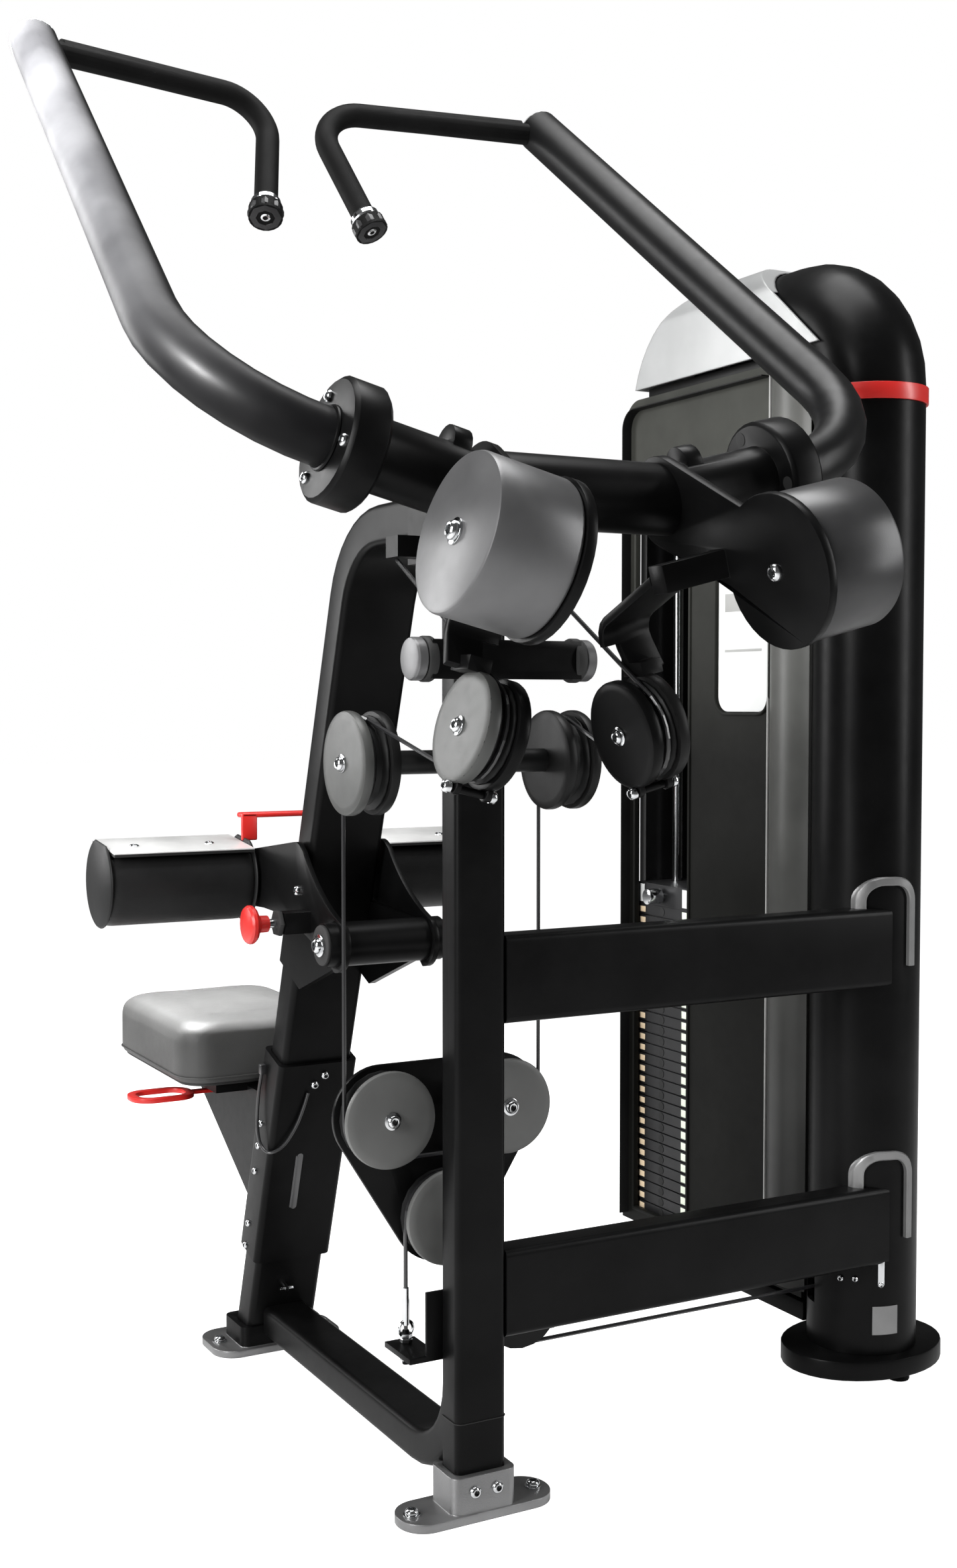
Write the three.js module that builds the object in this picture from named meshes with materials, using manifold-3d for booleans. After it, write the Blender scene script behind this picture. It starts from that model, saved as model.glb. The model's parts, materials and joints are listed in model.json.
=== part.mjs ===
// Lat pulldown machine: two lever arms, one long cable, a floating pulley block and a weight tower.
//
// Units are millimetres. +Z is up, +X runs from the column to the weight tower, +Y runs from the
// column to the seat. The origin is the middle of the underside of the front foot.
// "side" is +1 for the half of the machine next to the tower and -1 for the other half.

import * as THREE from 'three';
import { mergeVertices } from 'three/addons/utils/BufferGeometryUtils.js';
import Module from 'manifold-3d';

const wasm = await Module();
wasm.setup();

// ---------------------------------------------------------------- driving dimensions

const GAP = 0.3;
const SIDES = [-1, 1];

// Main column, base tube and rails
const COLUMN = { width: 76, depth: 50, corner: 10, bend: 120 };
const BASE_TUBE_Z = 55;
const FOOT = { length: 230, depth: 80, plate: 12, socket: 50, hole: 7, holeX: 94 };
const RAIL = { height: 120, upperZ: 727, lowerZ: 297, end: 712 };

// Seat column: its front face leans back from the floor, then the tube turns over the top
const SEAT_COLUMN = { width: 120, depth: 58, lean: 0.335, floorY: 738, topZ: 1350, bend: 140 };
const NECK = { bottom: 1286, top: 1366, halfWidth: 64, front: -60, back: 68 };

// Lever arms: each turns on an axis that rises outwards from the cross tube
const PIVOT = { x: 146, y: -255, z: 1352, tilt: THREE.MathUtils.degToRad(14) };
const CROSS_TUBE_RADIUS = 44.5;
const HUB = { start: -19, radius: 43.5, bore: 22.4, shaft: 22, plate: 12, eye: 58 };
const COLLAR = { radius: 74, start: 135, end: 183 };
const ARM = { radius: 35, wall: 4, bend: 190, cornerX: 357.5, tip: [453, 824, 633] };
const HANDLE = { radius: 17.5, bend: 62, cap: 27, bendAt: [66, 890, 722], end: [67, 766, 496.5] };
const WEIGHT = { radius: 89, rim: 92, length: 104, y: -200, z: -100 };
const SWING_BAR = { width: 72, thickness: 12, x: -76, bend: 28 };

// Pulleys and cable
const CABLE_RADIUS = 3;
const WHEEL = { track: 60, flange: 64, width: 22, bore: 10.4 };
const GUARD_RADIUS = 68;
const ARM_WHEEL = { x: -101, y: 24, z: -270 };
const GUIDE = { x: 152, y: 27, z: 1021, bar: 16 };
const BLOCK = { x: 92, y: 87, upperZ: 532, lowerZ: 386, edge: 70 };
const COLUMN_WHEEL = { x: 120, z: 240 };

// Bumper bar in front of the column
const BUMPER_BAR = { radius: 24, y: -75, z: 1156, halfLength: 110 };

// Tower
const LEG = { x: 730, y: 60, radius: 85, inner: 78, bend: 130, archZ: 1715, end: 335 };
const TOWER_PLATE = { bottom: 65, top: 95, halfX: 136, halfY: 106, footRadius: 18 };
const FOOT_SPOTS = [[102, 26], [16, 82]];
const SHROUD = {
  inner: 660, outer: 826, thickness: 8, front: 122, back: 645, bottom: 150, top: 1644, topCorner: 45,
};
const SLOT = { front: 438, back: 608, bottom: 175, top: 1475 };
const WINDOW = { front: 219, back: 359, bottom: 1084, top: 1450, corner: 28 };
const COVER = { inner: 638, outer: 822, wall: 5, bottom: 1655, top: 1806, back: 580, edge: 54 };
const STACK = { x: 745, y: 540, depth: 142, width: 165, bottom: 150, top: 735, headTop: 774 };
const STACK_PLATE = 19.5;
const ROD = { radius: 9.5, spacing: 58, bottom: 131, top: 1560 };
const STEM_RADIUS = 12;
const BASE_WHEEL = { track: 50, x: 695, z: 230 };
const TOP_WHEEL = { track: 36, frontY: 123, backY: 504, z: 1660 };

// Seat and thigh pads
const SEAT = { halfWidth: 155, front: 742, back: 1150, bottom: 448, top: 560 };
const CARRIAGE = { bottom: 180, top: 530, wall: 8 };
const THIGH_AXIS = { y: 290, z: 745, radius: 33, halfLength: 94 };
const THIGH_PAD = { radius: 72, y: 650, z: 815, inner: 80, outer: 325 };
const SIDE_PLATE = { inner: 68, thickness: 8 };
const PLATE_SCOOPS = { above: [175, 1069, 306], leftBelow: [572, 160, 611], rightBelow: [519, 432, 355] };

// ---------------------------------------------------------------- colours and finishes

function finish(color, roughness, metalness) {
  return new THREE.MeshStandardMaterial({ color, roughness, metalness });
}

const FINISH = {
  frame: finish(0x1c1c1d, 0.45, 0.3),
  cast: finish(0x8b8d8f, 0.5, 0.5),
  steel: finish(0xb9bbbd, 0.25, 1),
  plastic: finish(0x4a4b4d, 0.55, 0),
  shroud: finish(0x33342f, 0.6, 0),
  silver: finish(0xc9cbcc, 0.4, 0.4),
  red: finish(0xc6201f, 0.45, 0),
  vinyl: finish(0x3a3a3b, 0.7, 0),
  foam: finish(0x141414, 0.9, 0),
  plate: finish(0x202022, 0.6, 0.3),
  cable: finish(0x2a2a2b, 0.4, 0.2),
};

// ---------------------------------------------------------------- solids

// Merges shared corners, drops collapsed triangles and turns the faces outwards.
function closed(geometry) {
  const bare = geometry.clone();
  bare.deleteAttribute('normal');
  bare.deleteAttribute('uv');
  const merged = mergeVertices(bare, 1e-3);
  const position = merged.attributes.position;
  const corners = merged.index.array;
  const kept = [];
  const [a, b, c] = [new THREE.Vector3(), new THREE.Vector3(), new THREE.Vector3()];
  let volume = 0;
  for (let i = 0; i < corners.length; i += 3) {
    const [p, q, r] = [corners[i], corners[i + 1], corners[i + 2]];
    if (p === q || q === r || r === p) continue;
    kept.push(p, q, r);
    a.fromBufferAttribute(position, p);
    b.fromBufferAttribute(position, q);
    c.fromBufferAttribute(position, r);
    volume += a.dot(b.cross(c));
  }
  if (volume < 0) kept.reverse();
  merged.setIndex(kept);
  return merged;
}

function solidOf(geometry) {
  const shell = closed(geometry);
  return new wasm.Manifold(new wasm.Mesh({
    numProp: 3,
    vertProperties: new Float32Array(shell.attributes.position.array),
    triVerts: new Uint32Array(shell.index.array),
  }));
}

function geometryOf(solid) {
  const mesh = solid.getMesh();
  const geometry = new THREE.BufferGeometry();
  geometry.setAttribute('position', new THREE.BufferAttribute(mesh.vertProperties, 3));
  geometry.setIndex(new THREE.BufferAttribute(mesh.triVerts, 1));
  return geometry;
}

function join(...geometries) {
  return geometryOf(geometries.map(solidOf).reduce((whole, next) => whole.add(next)));
}

function common(first, second) {
  return geometryOf(solidOf(first).intersect(solidOf(second)));
}

function cut(geometry, ...tools) {
  return geometryOf(tools.map(solidOf).reduce((left, tool) => left.subtract(tool), solidOf(geometry)));
}

// A box between two corners.
function block(low, high) {
  const size = high.map((value, i) => value - low[i]);
  const geometry = new THREE.BoxGeometry(...size);
  return geometry.translate(...low.map((value, i) => value + size[i] / 2));
}

// A round bar between two points.
function rod(from, to, radius, sides = 20) {
  const start = new THREE.Vector3(...from);
  const along = new THREE.Vector3(...to).sub(start);
  const geometry = new THREE.CylinderGeometry(radius, radius, along.length(), sides);
  const turn = new THREE.Quaternion().setFromUnitVectors(
    new THREE.Vector3(0, 1, 0),
    along.clone().normalize(),
  );
  geometry.applyQuaternion(turn);
  return geometry.translate(...start.addScaledVector(along, 0.5).toArray());
}

function roundedRectangle(width, height, corner) {
  const [x, y] = [width / 2 - corner, height / 2 - corner];
  const shape = new THREE.Shape();
  shape.absarc(x, y, corner, 0, Math.PI / 2);
  shape.absarc(-x, y, corner, Math.PI / 2, Math.PI);
  shape.absarc(-x, -y, corner, Math.PI, Math.PI * 1.5);
  shape.absarc(x, -y, corner, Math.PI * 1.5, Math.PI * 2);
  return shape;
}

function polygon(radius, sides) {
  const points = [];
  for (let i = 0; i < sides; i += 1) {
    const angle = (i / sides) * Math.PI * 2;
    points.push(new THREE.Vector2(radius * Math.cos(angle), radius * Math.sin(angle)));
  }
  return new THREE.Shape(points);
}

// The outline of a tight band around two or more circles, given as [x, y, radius] anticlockwise.
function bandAround(circles) {
  const shape = new THREE.Shape();
  const angles = circles.map(([x, y, r], i) => {
    const [nextX, nextY, nextR] = circles[(i + 1) % circles.length];
    const length = Math.hypot(nextX - x, nextY - y);
    return Math.atan2(nextY - y, nextX - x) - Math.acos((r - nextR) / length);
  });
  circles.forEach(([x, y, r], i) => {
    const before = angles[(i + circles.length - 1) % circles.length];
    const after = angles[i];
    const end = after + (after < before ? Math.PI * 2 : 0);
    shape.absarc(x, y, r, before, end);
  });
  return shape;
}

const LIE = {
  alongX: new THREE.Matrix4().makeBasis(
    new THREE.Vector3(0, 1, 0),
    new THREE.Vector3(0, 0, 1),
    new THREE.Vector3(1, 0, 0),
  ),
  alongY: new THREE.Matrix4().makeBasis(
    new THREE.Vector3(1, 0, 0),
    new THREE.Vector3(0, 0, 1),
    new THREE.Vector3(0, -1, 0),
  ),
};

// Plate from "from" to "to" along X, its outline drawn in (y, z).
function plateAlongX(shape, from, to, curveSegments = 8) {
  const geometry = new THREE.ExtrudeGeometry(shape, {
    depth: to - from,
    bevelEnabled: false,
    curveSegments,
  });
  return geometry.applyMatrix4(LIE.alongX).translate(from, 0, 0);
}

// Plate from "from" to "to" along Y, its outline drawn in (x, z).
function plateAlongY(shape, from, to, curveSegments = 8) {
  const geometry = new THREE.ExtrudeGeometry(shape, {
    depth: to - from,
    bevelEnabled: false,
    curveSegments,
  });
  return geometry.applyMatrix4(LIE.alongY).translate(0, to, 0);
}

// Plate from "from" to "to" along Z, its outline drawn in (x, y).
function plateAlongZ(shape, from, to, curveSegments = 8) {
  const geometry = new THREE.ExtrudeGeometry(shape, {
    depth: to - from,
    bevelEnabled: false,
    curveSegments,
  });
  return geometry.translate(0, 0, from);
}

// A path through chosen points, each with the direction of travel there.
class MarkedPath extends THREE.Curve {
  constructor(side = null) {
    super();
    this.side = side;
    this.points = [];
    this.tangents = [];
  }

  mark(point, tangent) {
    this.points.push(point.clone());
    this.tangents.push(tangent.clone());
  }

  // Goes round an axis through the centre, starting at the arm's end.
  sweepRound(centre, arm, axis, angle, steps) {
    for (let i = 0; i <= steps; i += 1) {
      const out = arm.clone().applyAxisAngle(axis, (angle * i) / steps);
      this.mark(centre.clone().add(out), axis.clone().cross(out).normalize());
    }
  }

  at(share) {
    return Math.round(share * (this.points.length - 1));
  }

  getPoint(share) {
    return this.points[this.at(share)].clone();
  }

  getPointAt(share) {
    return this.getPoint(share);
  }

  getTangentAt(share, target = new THREE.Vector3()) {
    return target.copy(this.tangents[this.at(share)]);
  }

  computeFrenetFrames(segments, isClosed) {
    if (!this.side) return super.computeFrenetFrames(segments, isClosed);
    const side = new THREE.Vector3(...this.side);
    return {
      tangents: this.tangents,
      normals: this.tangents.map(() => side),
      binormals: this.tangents.map((tangent) => tangent.clone().cross(side)),
    };
  }
}

// Straight runs joined by round bends, with points only where the path starts, turns and ends.
class BentPath extends MarkedPath {
  constructor(corners, bends, { steps = 6, side = null } = {}) {
    super(side);
    const spots = corners.map((corner) => new THREE.Vector3(...corner));
    const runs = spots.slice(1).map((spot, i) => spot.clone().sub(spots[i]).normalize());
    this.mark(spots[0], runs[0]);
    for (let i = 1; i < spots.length - 1; i += 1) {
      const bend = Array.isArray(bends) ? bends[i - 1] : bends;
      this.turn(spots[i], runs[i - 1], runs[i], bend, steps);
    }
    this.mark(spots.at(-1), runs.at(-1));
  }

  turn(corner, before, after, bend, steps) {
    const angle = before.angleTo(after);
    const start = corner.clone().addScaledVector(before, -bend * Math.tan(angle / 2));
    const axis = before.clone().cross(after).normalize();
    const arm = before.clone().cross(axis).multiplyScalar(bend);
    this.sweepRound(start.clone().sub(arm), arm, axis, angle, steps);
  }
}

// Straight in, right-handed round a wheel's axis and straight out.
class WrapPath extends MarkedPath {
  constructor(from, wheelCentre, axis, radius, to, steps = 12) {
    super();
    const reach = (point) => point.clone().sub(wheelCentre).projectOnPlane(axis);
    const touch = (point, way) => {
      const out = reach(point);
      const turned = way * Math.acos(radius / out.length());
      return out.setLength(radius).applyAxisAngle(axis, turned);
    };
    const [first, last] = [touch(from, 1), touch(to, -1)];
    const sine = first.clone().cross(last).dot(axis);
    const angle = (Math.atan2(sine, first.dot(last)) + Math.PI * 2) % (Math.PI * 2);
    this.mark(from, wheelCentre.clone().add(first).sub(from).normalize());
    this.sweepRound(wheelCentre, first, axis, angle, steps);
    this.mark(to, to.clone().sub(wheelCentre).sub(last).normalize());
  }
}

function sweep(shape, path, curveSegments = 3) {
  return new THREE.ExtrudeGeometry(shape, {
    steps: path.points.length - 1,
    extrudePath: path,
    curveSegments,
  });
}

// A grooved wheel with a bore, turning on an axis along X through the origin.
function wheel({ track, width = WHEEL.width, bore = WHEEL.bore }) {
  const [inner, outer, half] = [track - CABLE_RADIUS - 1, track + 3, width / 2];
  const profile = [
    [bore, -half],
    [outer, -half],
    [outer, -half + 2],
    [inner, -CABLE_RADIUS - 1],
    [inner, CABLE_RADIUS + 1],
    [outer, half - 2],
    [outer, half],
    [bore, half],
    [bore, -half],
  ].map(([radius, along]) => new THREE.Vector2(radius, along));
  return new THREE.LatheGeometry(profile, 20).rotateZ(-Math.PI / 2);
}

function cable(corners, bends, steps = 10) {
  const section = polygon(CABLE_RADIUS, 6);
  return sweep(section, new BentPath(corners, bends, { steps }));
}

function mirrored(geometry, side) {
  return geometry.clone().scale(side, 1, 1);
}

// ---------------------------------------------------------------- assembly

const machine = new THREE.Group();

function place(parent, name, geometry, material) {
  const mesh = new THREE.Mesh(closed(geometry), material);
  mesh.name = name;
  parent.add(mesh);
  return mesh;
}

function sideName(side) {
  return side < 0 ? 'left' : 'right';
}

// ---------------------------------------------------------------- frame

// How far back the middle of the seat column is at a height.
function seatColumnY(z) {
  return SEAT_COLUMN.floorY - SEAT_COLUMN.lean * z;
}

function leaningTube(grow, fromZ, toZ) {
  const { width, depth } = SEAT_COLUMN;
  const path = new BentPath(
    [[0, seatColumnY(fromZ), fromZ], [0, seatColumnY(toZ), toZ]],
    0,
    { side: [1, 0, 0] },
  );
  return sweep(roundedRectangle(width + 2 * grow, depth + 2 * grow, 10), path);
}

// The column bends backwards near the floor and runs on as the base tube.
function columnTube(grow = 0) {
  const { width, depth, corner, bend } = COLUMN;
  const path = new BentPath(
    [[0, 0, NECK.bottom - GAP], [0, 0, BASE_TUBE_Z], [0, seatColumnY(80) - 31.5, BASE_TUBE_Z]],
    bend,
    { side: [1, 0, 0], steps: 8 },
  );
  return sweep(roundedRectangle(width + 2 * grow, depth + 2 * grow, corner), path);
}

// A straight leg carries on down to the front foot, and a notch takes the pulley bar.
function mainColumn() {
  const tube = columnTube();
  const leg = plateAlongZ(
    roundedRectangle(COLUMN.width, COLUMN.depth, COLUMN.corner),
    FOOT.plate + GAP,
    200,
    3,
  );
  const barNotch = rod([-60, GUIDE.y, GUIDE.z], [60, GUIDE.y, GUIDE.z], GUIDE.bar + GAP);
  return cut(join(tube, leg), barNotch);
}

// A cast foot: a long plate with a fixing hole near each end and a socket around the tube.
function footPlate(depth, y) {
  const { length, plate, hole, holeX } = FOOT;
  const outline = roundedRectangle(length, depth, Math.min(depth / 2 - 1, 40));
  const slab = plateAlongZ(outline, 0, plate, 8).translate(0, y, 0);
  const holes = SIDES.map((side) => rod([side * holeX, y, -1], [side * holeX, y, plate + 1], hole, 14));
  return cut(slab, ...holes);
}

function frontFoot() {
  const { plate, socket } = FOOT;
  const outline = roundedRectangle(COLUMN.width + 22, COLUMN.depth + 22, 14);
  const shell = plateAlongZ(outline, plate - 2, plate + socket, 4);
  const inside = plateAlongZ(
    roundedRectangle(COLUMN.width + 2 * GAP, COLUMN.depth + 2 * GAP, COLUMN.corner),
    plate,
    plate + socket + 10,
    3,
  );
  return cut(join(footPlate(FOOT.depth, 0), shell), inside, columnTube(2 * GAP));
}

function rearFoot() {
  const { plate } = FOOT;
  const y = seatColumnY(0) + 4;
  const outline = roundedRectangle(SEAT_COLUMN.width + 24, 92, 14);
  const shell = plateAlongZ(outline, plate - 2, plate + 34, 4).translate(0, y - 8, 0);
  const inside = cut(leaningTube(GAP, -30, 90), block([-150, 500, -60], [150, 900, plate]));
  return cut(join(footPlate(124, y), shell), inside);
}

// The seat column turns over the top; the neck carries the cross tube and the two cable anchors.
function seatColumn() {
  const { width, depth, topZ, bend } = SEAT_COLUMN;
  const path = new BentPath(
    [[0, seatColumnY(-30), -30], [0, seatColumnY(topZ), topZ], [0, NECK.back - 20, topZ]],
    bend,
    { side: [1, 0, 0], steps: 8 },
  );
  const tube = sweep(roundedRectangle(width, depth, 10), path);
  const neck = block([-NECK.halfWidth, NECK.front, NECK.bottom], [NECK.halfWidth, NECK.back, NECK.top]);
  const beam = block([-38, PIVOT.y + 30, 1318], [38, NECK.front + 5, 1364]);
  const anchors = block([-108, 8, NECK.bottom + 6], [108, 44, NECK.bottom + 34]);
  const whole = join(tube, neck, beam, anchors, thighPivot());
  const crossTube = rod([-200, PIVOT.y, PIVOT.z], [200, PIVOT.y, PIVOT.z], CROSS_TUBE_RADIUS + GAP, 32);
  const floor = block([-200, 500, -100], [200, 900, FOOT.plate + GAP]);
  return cut(whole, crossTube, floor);
}

// The tube that the thigh pads turn about stands out from the seat column on two cheek plates.
function thighPivot() {
  const { y, z, radius, halfLength } = THIGH_AXIS;
  const tube = rod([-halfLength, y, z], [halfLength, y, z], radius, 24);
  const cheek = new THREE.Shape([
    new THREE.Vector2(y, z - 30),
    new THREE.Vector2(seatColumnY(655) - 66, 655),
    new THREE.Vector2(seatColumnY(690) + 26, 690),
    new THREE.Vector2(seatColumnY(790) + 26, 790),
    new THREE.Vector2(y, z + 30),
  ]);
  const half = SEAT_COLUMN.width / 2;
  return join(tube, plateAlongX(cheek, -half - 5, -half + 6), plateAlongX(cheek, half - 6, half + 5));
}

// Axis frame of one lever arm: local x runs outwards along the pivot.
function armFrame(side) {
  const group = new THREE.Group();
  group.position.set(side * PIVOT.x, PIVOT.y, PIVOT.z);
  group.rotation.y = -side * PIVOT.tilt;
  group.updateMatrixWorld(true);
  return group;
}

function inArmFrame(geometry, side) {
  return mirrored(geometry, side).applyMatrix4(armFrame(side).matrixWorld);
}

// The fixed tube between the hubs, with a shaft that each hub turns on.
function crossTube() {
  const { x, y, z } = PIVOT;
  const tube = rod([-x - 20, y, z], [x + 20, y, z], CROSS_TUBE_RADIUS, 32);
  const ends = SIDES.map((side) => inArmFrame(block([HUB.start - GAP, -90, -90], [200, 90, 90]), side));
  const shafts = SIDES.map((side) => inArmFrame(rod([-60, 0, 0], [112, 0, 0], HUB.shaft, 20), side));
  return join(cut(tube, ...ends), ...shafts);
}

function bumperBar() {
  const { radius, y, z, halfLength } = BUMPER_BAR;
  const low = [-halfLength, y - radius + 2, z - radius - 1];
  const high = [halfLength, y + radius - 2, z + radius + 1];
  const bar = block(low, high);
  const bracket = block([-28, y, z - 22], [28, -COLUMN.depth / 2 - GAP, z + 22]);
  const ends = SIDES.map((side) => rod(
    [side * (halfLength - 4), y, z],
    [side * (halfLength + 22), y, z],
    radius + 2,
    24,
  ));
  return join(bar, bracket, ...ends);
}

// The round bar through the column, with two guard discs around each guide wheel.
function pulleyBar() {
  const { x, y, z, bar } = GUIDE;
  const half = WHEEL.width / 2 + 2;
  const rodPart = rod([-x - half - 8, y, z], [x + half + 8, y, z], bar, 20);
  const discs = SIDES.flatMap((side) => [-1, 1].map((face) => rod(
    [side * (x + face * half), y, z],
    [side * (x + face * (half + 12)), y, z],
    GUARD_RADIUS,
    24,
  )));
  return join(rodPart, ...discs);
}

function rail(z) {
  const path = new BentPath(
    [[COLUMN.width / 2 + GAP, 0, z], [RAIL.end, 0, z]],
    0,
    { side: [0, 1, 0] },
  );
  const bar = sweep(roundedRectangle(COLUMN.depth, RAIL.height, COLUMN.corner), path);
  return cut(bar, rod([LEG.x, LEG.y, z - 90], [LEG.x, LEG.y, z + 90], LEG.radius + GAP, 48));
}

// The lower rail also carries the axle of the wheel that turns the cable towards the tower.
function lowerRail() {
  const { x, z } = COLUMN_WHEEL;
  const lug = block([x - 22, COLUMN.depth / 2 - 2, z - 20], [x + 22, COLUMN.depth / 2 + 8, z + 46]);
  const axle = rod([x, COLUMN.depth / 2, z], [x, BLOCK.y + 20, z], WHEEL.bore - 0.4, 16);
  return join(rail(RAIL.lowerZ), lug, axle);
}

function cableAnchor() {
  const back = COLUMN.depth / 2 + GAP;
  const [low, high] = [RAIL.lowerZ - 92, RAIL.lowerZ + 3];
  const upright = block([-58, back, low], [20, back + 6, high]);
  const tab = block([-84, back, low], [-38, BLOCK.y + 18, low + 8]);
  const eye = rod([-WHEEL.track, BLOCK.y, low - 22], [-WHEEL.track, BLOCK.y, low + 26], 5, 12);
  return join(upright, tab, eye);
}

// ---------------------------------------------------------------- lever arms

// Lever plate, hub tube and collar. Local axes: x outwards along the pivot, y to the seat, z up.
function hub() {
  const { start, radius, bore, plate, eye } = HUB;
  const { y, z, rim } = WEIGHT;
  const neck = plateAlongX(bandAround([[0, 0, eye], [0.85 * y, 0.85 * z, 50]]), start, start + plate, 10);
  const lever = join(neck, rod([start, y, z], [start + plate, y, z], rim, 40));
  const tube = rod([start + 2, 0, 0], [COLLAR.start + 4, 0, 0], radius, 28);
  const lug = rod([start + 34, 0, 40], [start + 58, 0, 40], 24, 18);
  const collarProfile = [
    [0, COLLAR.start],
    [COLLAR.radius - 5, COLLAR.start],
    [COLLAR.radius, COLLAR.start + 5],
    [COLLAR.radius, COLLAR.end - 5],
    [COLLAR.radius - 5, COLLAR.end],
    [0, COLLAR.end],
  ].map(([r, along]) => new THREE.Vector2(r, along));
  const collar = new THREE.LatheGeometry(collarProfile, 32).rotateZ(-Math.PI / 2);
  const link = block([SWING_BAR.x - SWING_BAR.width / 2, -112, -100], [start + 2, -82, -66]);
  const hole = rod([start - 10, 0, 0], [115, 0, 0], bore, 20);
  return cut(join(lever, tube, lug, collar, link), hole);
}

// A point of the arm's axis, measured along it from the tip.
function besideTip(distance) {
  const tip = new THREE.Vector3(...ARM.tip);
  const along = tip.clone().sub(new THREE.Vector3(ARM.cornerX, 0, 0)).normalize();
  return tip.addScaledVector(along, distance).toArray();
}

function armSweep(radius, sides, from, to) {
  const path = new BentPath([[from, 0, 0], [ARM.cornerX, 0, 0], besideTip(to)], ARM.bend, { steps: 8 });
  return sweep(polygon(radius, sides), path);
}

// The tube is bored from its collar end and closed at the tip.
function armTube() {
  const bore = armSweep(ARM.radius - ARM.wall, 10, COLLAR.end - 5, -40);
  return cut(armSweep(ARM.radius, 20, COLLAR.end + GAP, 0), bore);
}

function handle() {
  const path = new BentPath([besideTip(-20), HANDLE.bendAt, HANDLE.end], HANDLE.bend, { steps: 8 });
  const bar = sweep(polygon(HANDLE.radius, 14), path);
  const end = path.points.at(-1);
  const back = path.tangents.at(-1).clone().multiplyScalar(-20);
  const cap = rod(end.toArray(), end.clone().add(back).toArray(), HANDLE.cap, 20);
  return cut(join(bar, cap), armSweep(ARM.radius + GAP, 20, COLLAR.end, 40));
}

function counterweight() {
  const { radius, length, y, z } = WEIGHT;
  const start = HUB.start + HUB.plate + GAP;
  return rod([start, y, z], [start + length, y, z], radius, 40);
}

// A bent strap from the lever plate down to a yoke that holds the moving wheel between two discs.
function swingBar() {
  const { width, thickness, x, bend } = SWING_BAR;
  const { y, z } = ARM_WHEEL;
  const path = new BentPath(
    [[x, -82 + GAP, -84], [x, 64, -138], [x, y + 12, z + GUARD_RADIUS + 2]],
    bend,
    { side: [1, 0, 0], steps: 4 },
  );
  const strap = sweep(roundedRectangle(width, thickness, 2), path, 1);
  const half = 13;
  const yoke = block(
    [ARM_WHEEL.x - half - 14, y - 14, z + WHEEL.flange + 2],
    [ARM_WHEEL.x + half + 30, y + 30, z + WHEEL.flange + 20],
  );
  const discs = [-1, 1].map((face) => rod(
    [ARM_WHEEL.x + face * half, y, z],
    [ARM_WHEEL.x + face * (half + 15), y, z],
    GUARD_RADIUS,
    24,
  ));
  const axle = rod([ARM_WHEEL.x - half - 2, y, z], [ARM_WHEEL.x + half + 2, y, z], WHEEL.bore - 0.4, 16);
  const slotForLink = block([-200, -130, -100 - GAP], [HUB.start + 4, -82 + GAP, -60]);
  const wayForCable = block([-140, -100, z + 40], [ARM_WHEEL.x + half - 1, 200, z + 110]);
  return join(cut(join(strap, yoke), slotForLink, wayForCable), ...discs, axle);
}

function armWheelCentre() {
  const { x, y, z } = ARM_WHEEL;
  return new THREE.Vector3(x, y, z).applyMatrix4(armFrame(1).matrixWorld);
}

// Where the cable from the moving wheel first touches the guide wheel, and its slope there.
function guideContact() {
  const from = armWheelCentre();
  const [dy, dz] = [GUIDE.y - from.y, GUIDE.z - from.z];
  const slope = Math.atan2(dz, dy) + Math.asin((2 * WHEEL.track) / Math.hypot(dy, dz));
  return {
    slope,
    y: GUIDE.y - WHEEL.track * Math.sin(slope),
    z: GUIDE.z + WHEEL.track * Math.cos(slope),
  };
}

// Fixed at the neck, over, round and under the moving wheel, then up to the guide wheel.
function armCable(side) {
  const axis = new THREE.Vector3(Math.cos(PIVOT.tilt), 0, Math.sin(PIVOT.tilt));
  const from = new THREE.Vector3(100, 26, NECK.bottom + 2);
  const contact = guideContact();
  const to = new THREE.Vector3(
    GUIDE.x,
    contact.y - 3 * Math.cos(contact.slope),
    contact.z - 3 * Math.sin(contact.slope),
  );
  const path = new WrapPath(from, armWheelCentre(), axis, WHEEL.track, to);
  return mirrored(sweep(polygon(CABLE_RADIUS, 6), path), side);
}

// ---------------------------------------------------------------- pulleys behind the column

// A rounded triangle behind the three wheels, with an axle and a cover disc on each.
function floatingBlock() {
  const { x, y, upperZ, lowerZ, edge } = BLOCK;
  const spots = [[0, lowerZ], [x, upperZ], [-x, upperZ]];
  const half = WHEEL.width / 2 + 2;
  const plate = plateAlongY(bandAround(spots.map(([px, pz]) => [px, pz, edge])), y + half, y + half + 8, 8);
  const between = (from, to, radius, sides) => (
    spots.map(([px, pz]) => rod([px, y + from, pz], [px, y + to, pz], radius, sides)));
  const axles = between(-half - 2, half + 2, WHEEL.bore - 0.4, 16);
  const covers = between(-half - 10, -half, WHEEL.flange + 2, 24);
  return join(plate, ...axles, ...covers);
}

// Over one guide wheel and down, under both upper block wheels, then up and over the other.
function blockCable() {
  const { x, y } = GUIDE;
  const { track } = WHEEL;
  const contact = guideContact();
  const back = y + track;
  const top = contact.z + Math.tan(contact.slope) * (back - contact.y);
  const start = [contact.y - 2 * Math.cos(contact.slope), contact.z - 2 * Math.sin(contact.slope)];
  const under = BLOCK.upperZ - track;
  return cable(
    [
      [-x, ...start],
      [-x, back, top],
      [-x, back, under],
      [x, back, under],
      [x, back, top],
      [x, ...start],
    ],
    track,
    8,
  );
}

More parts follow.
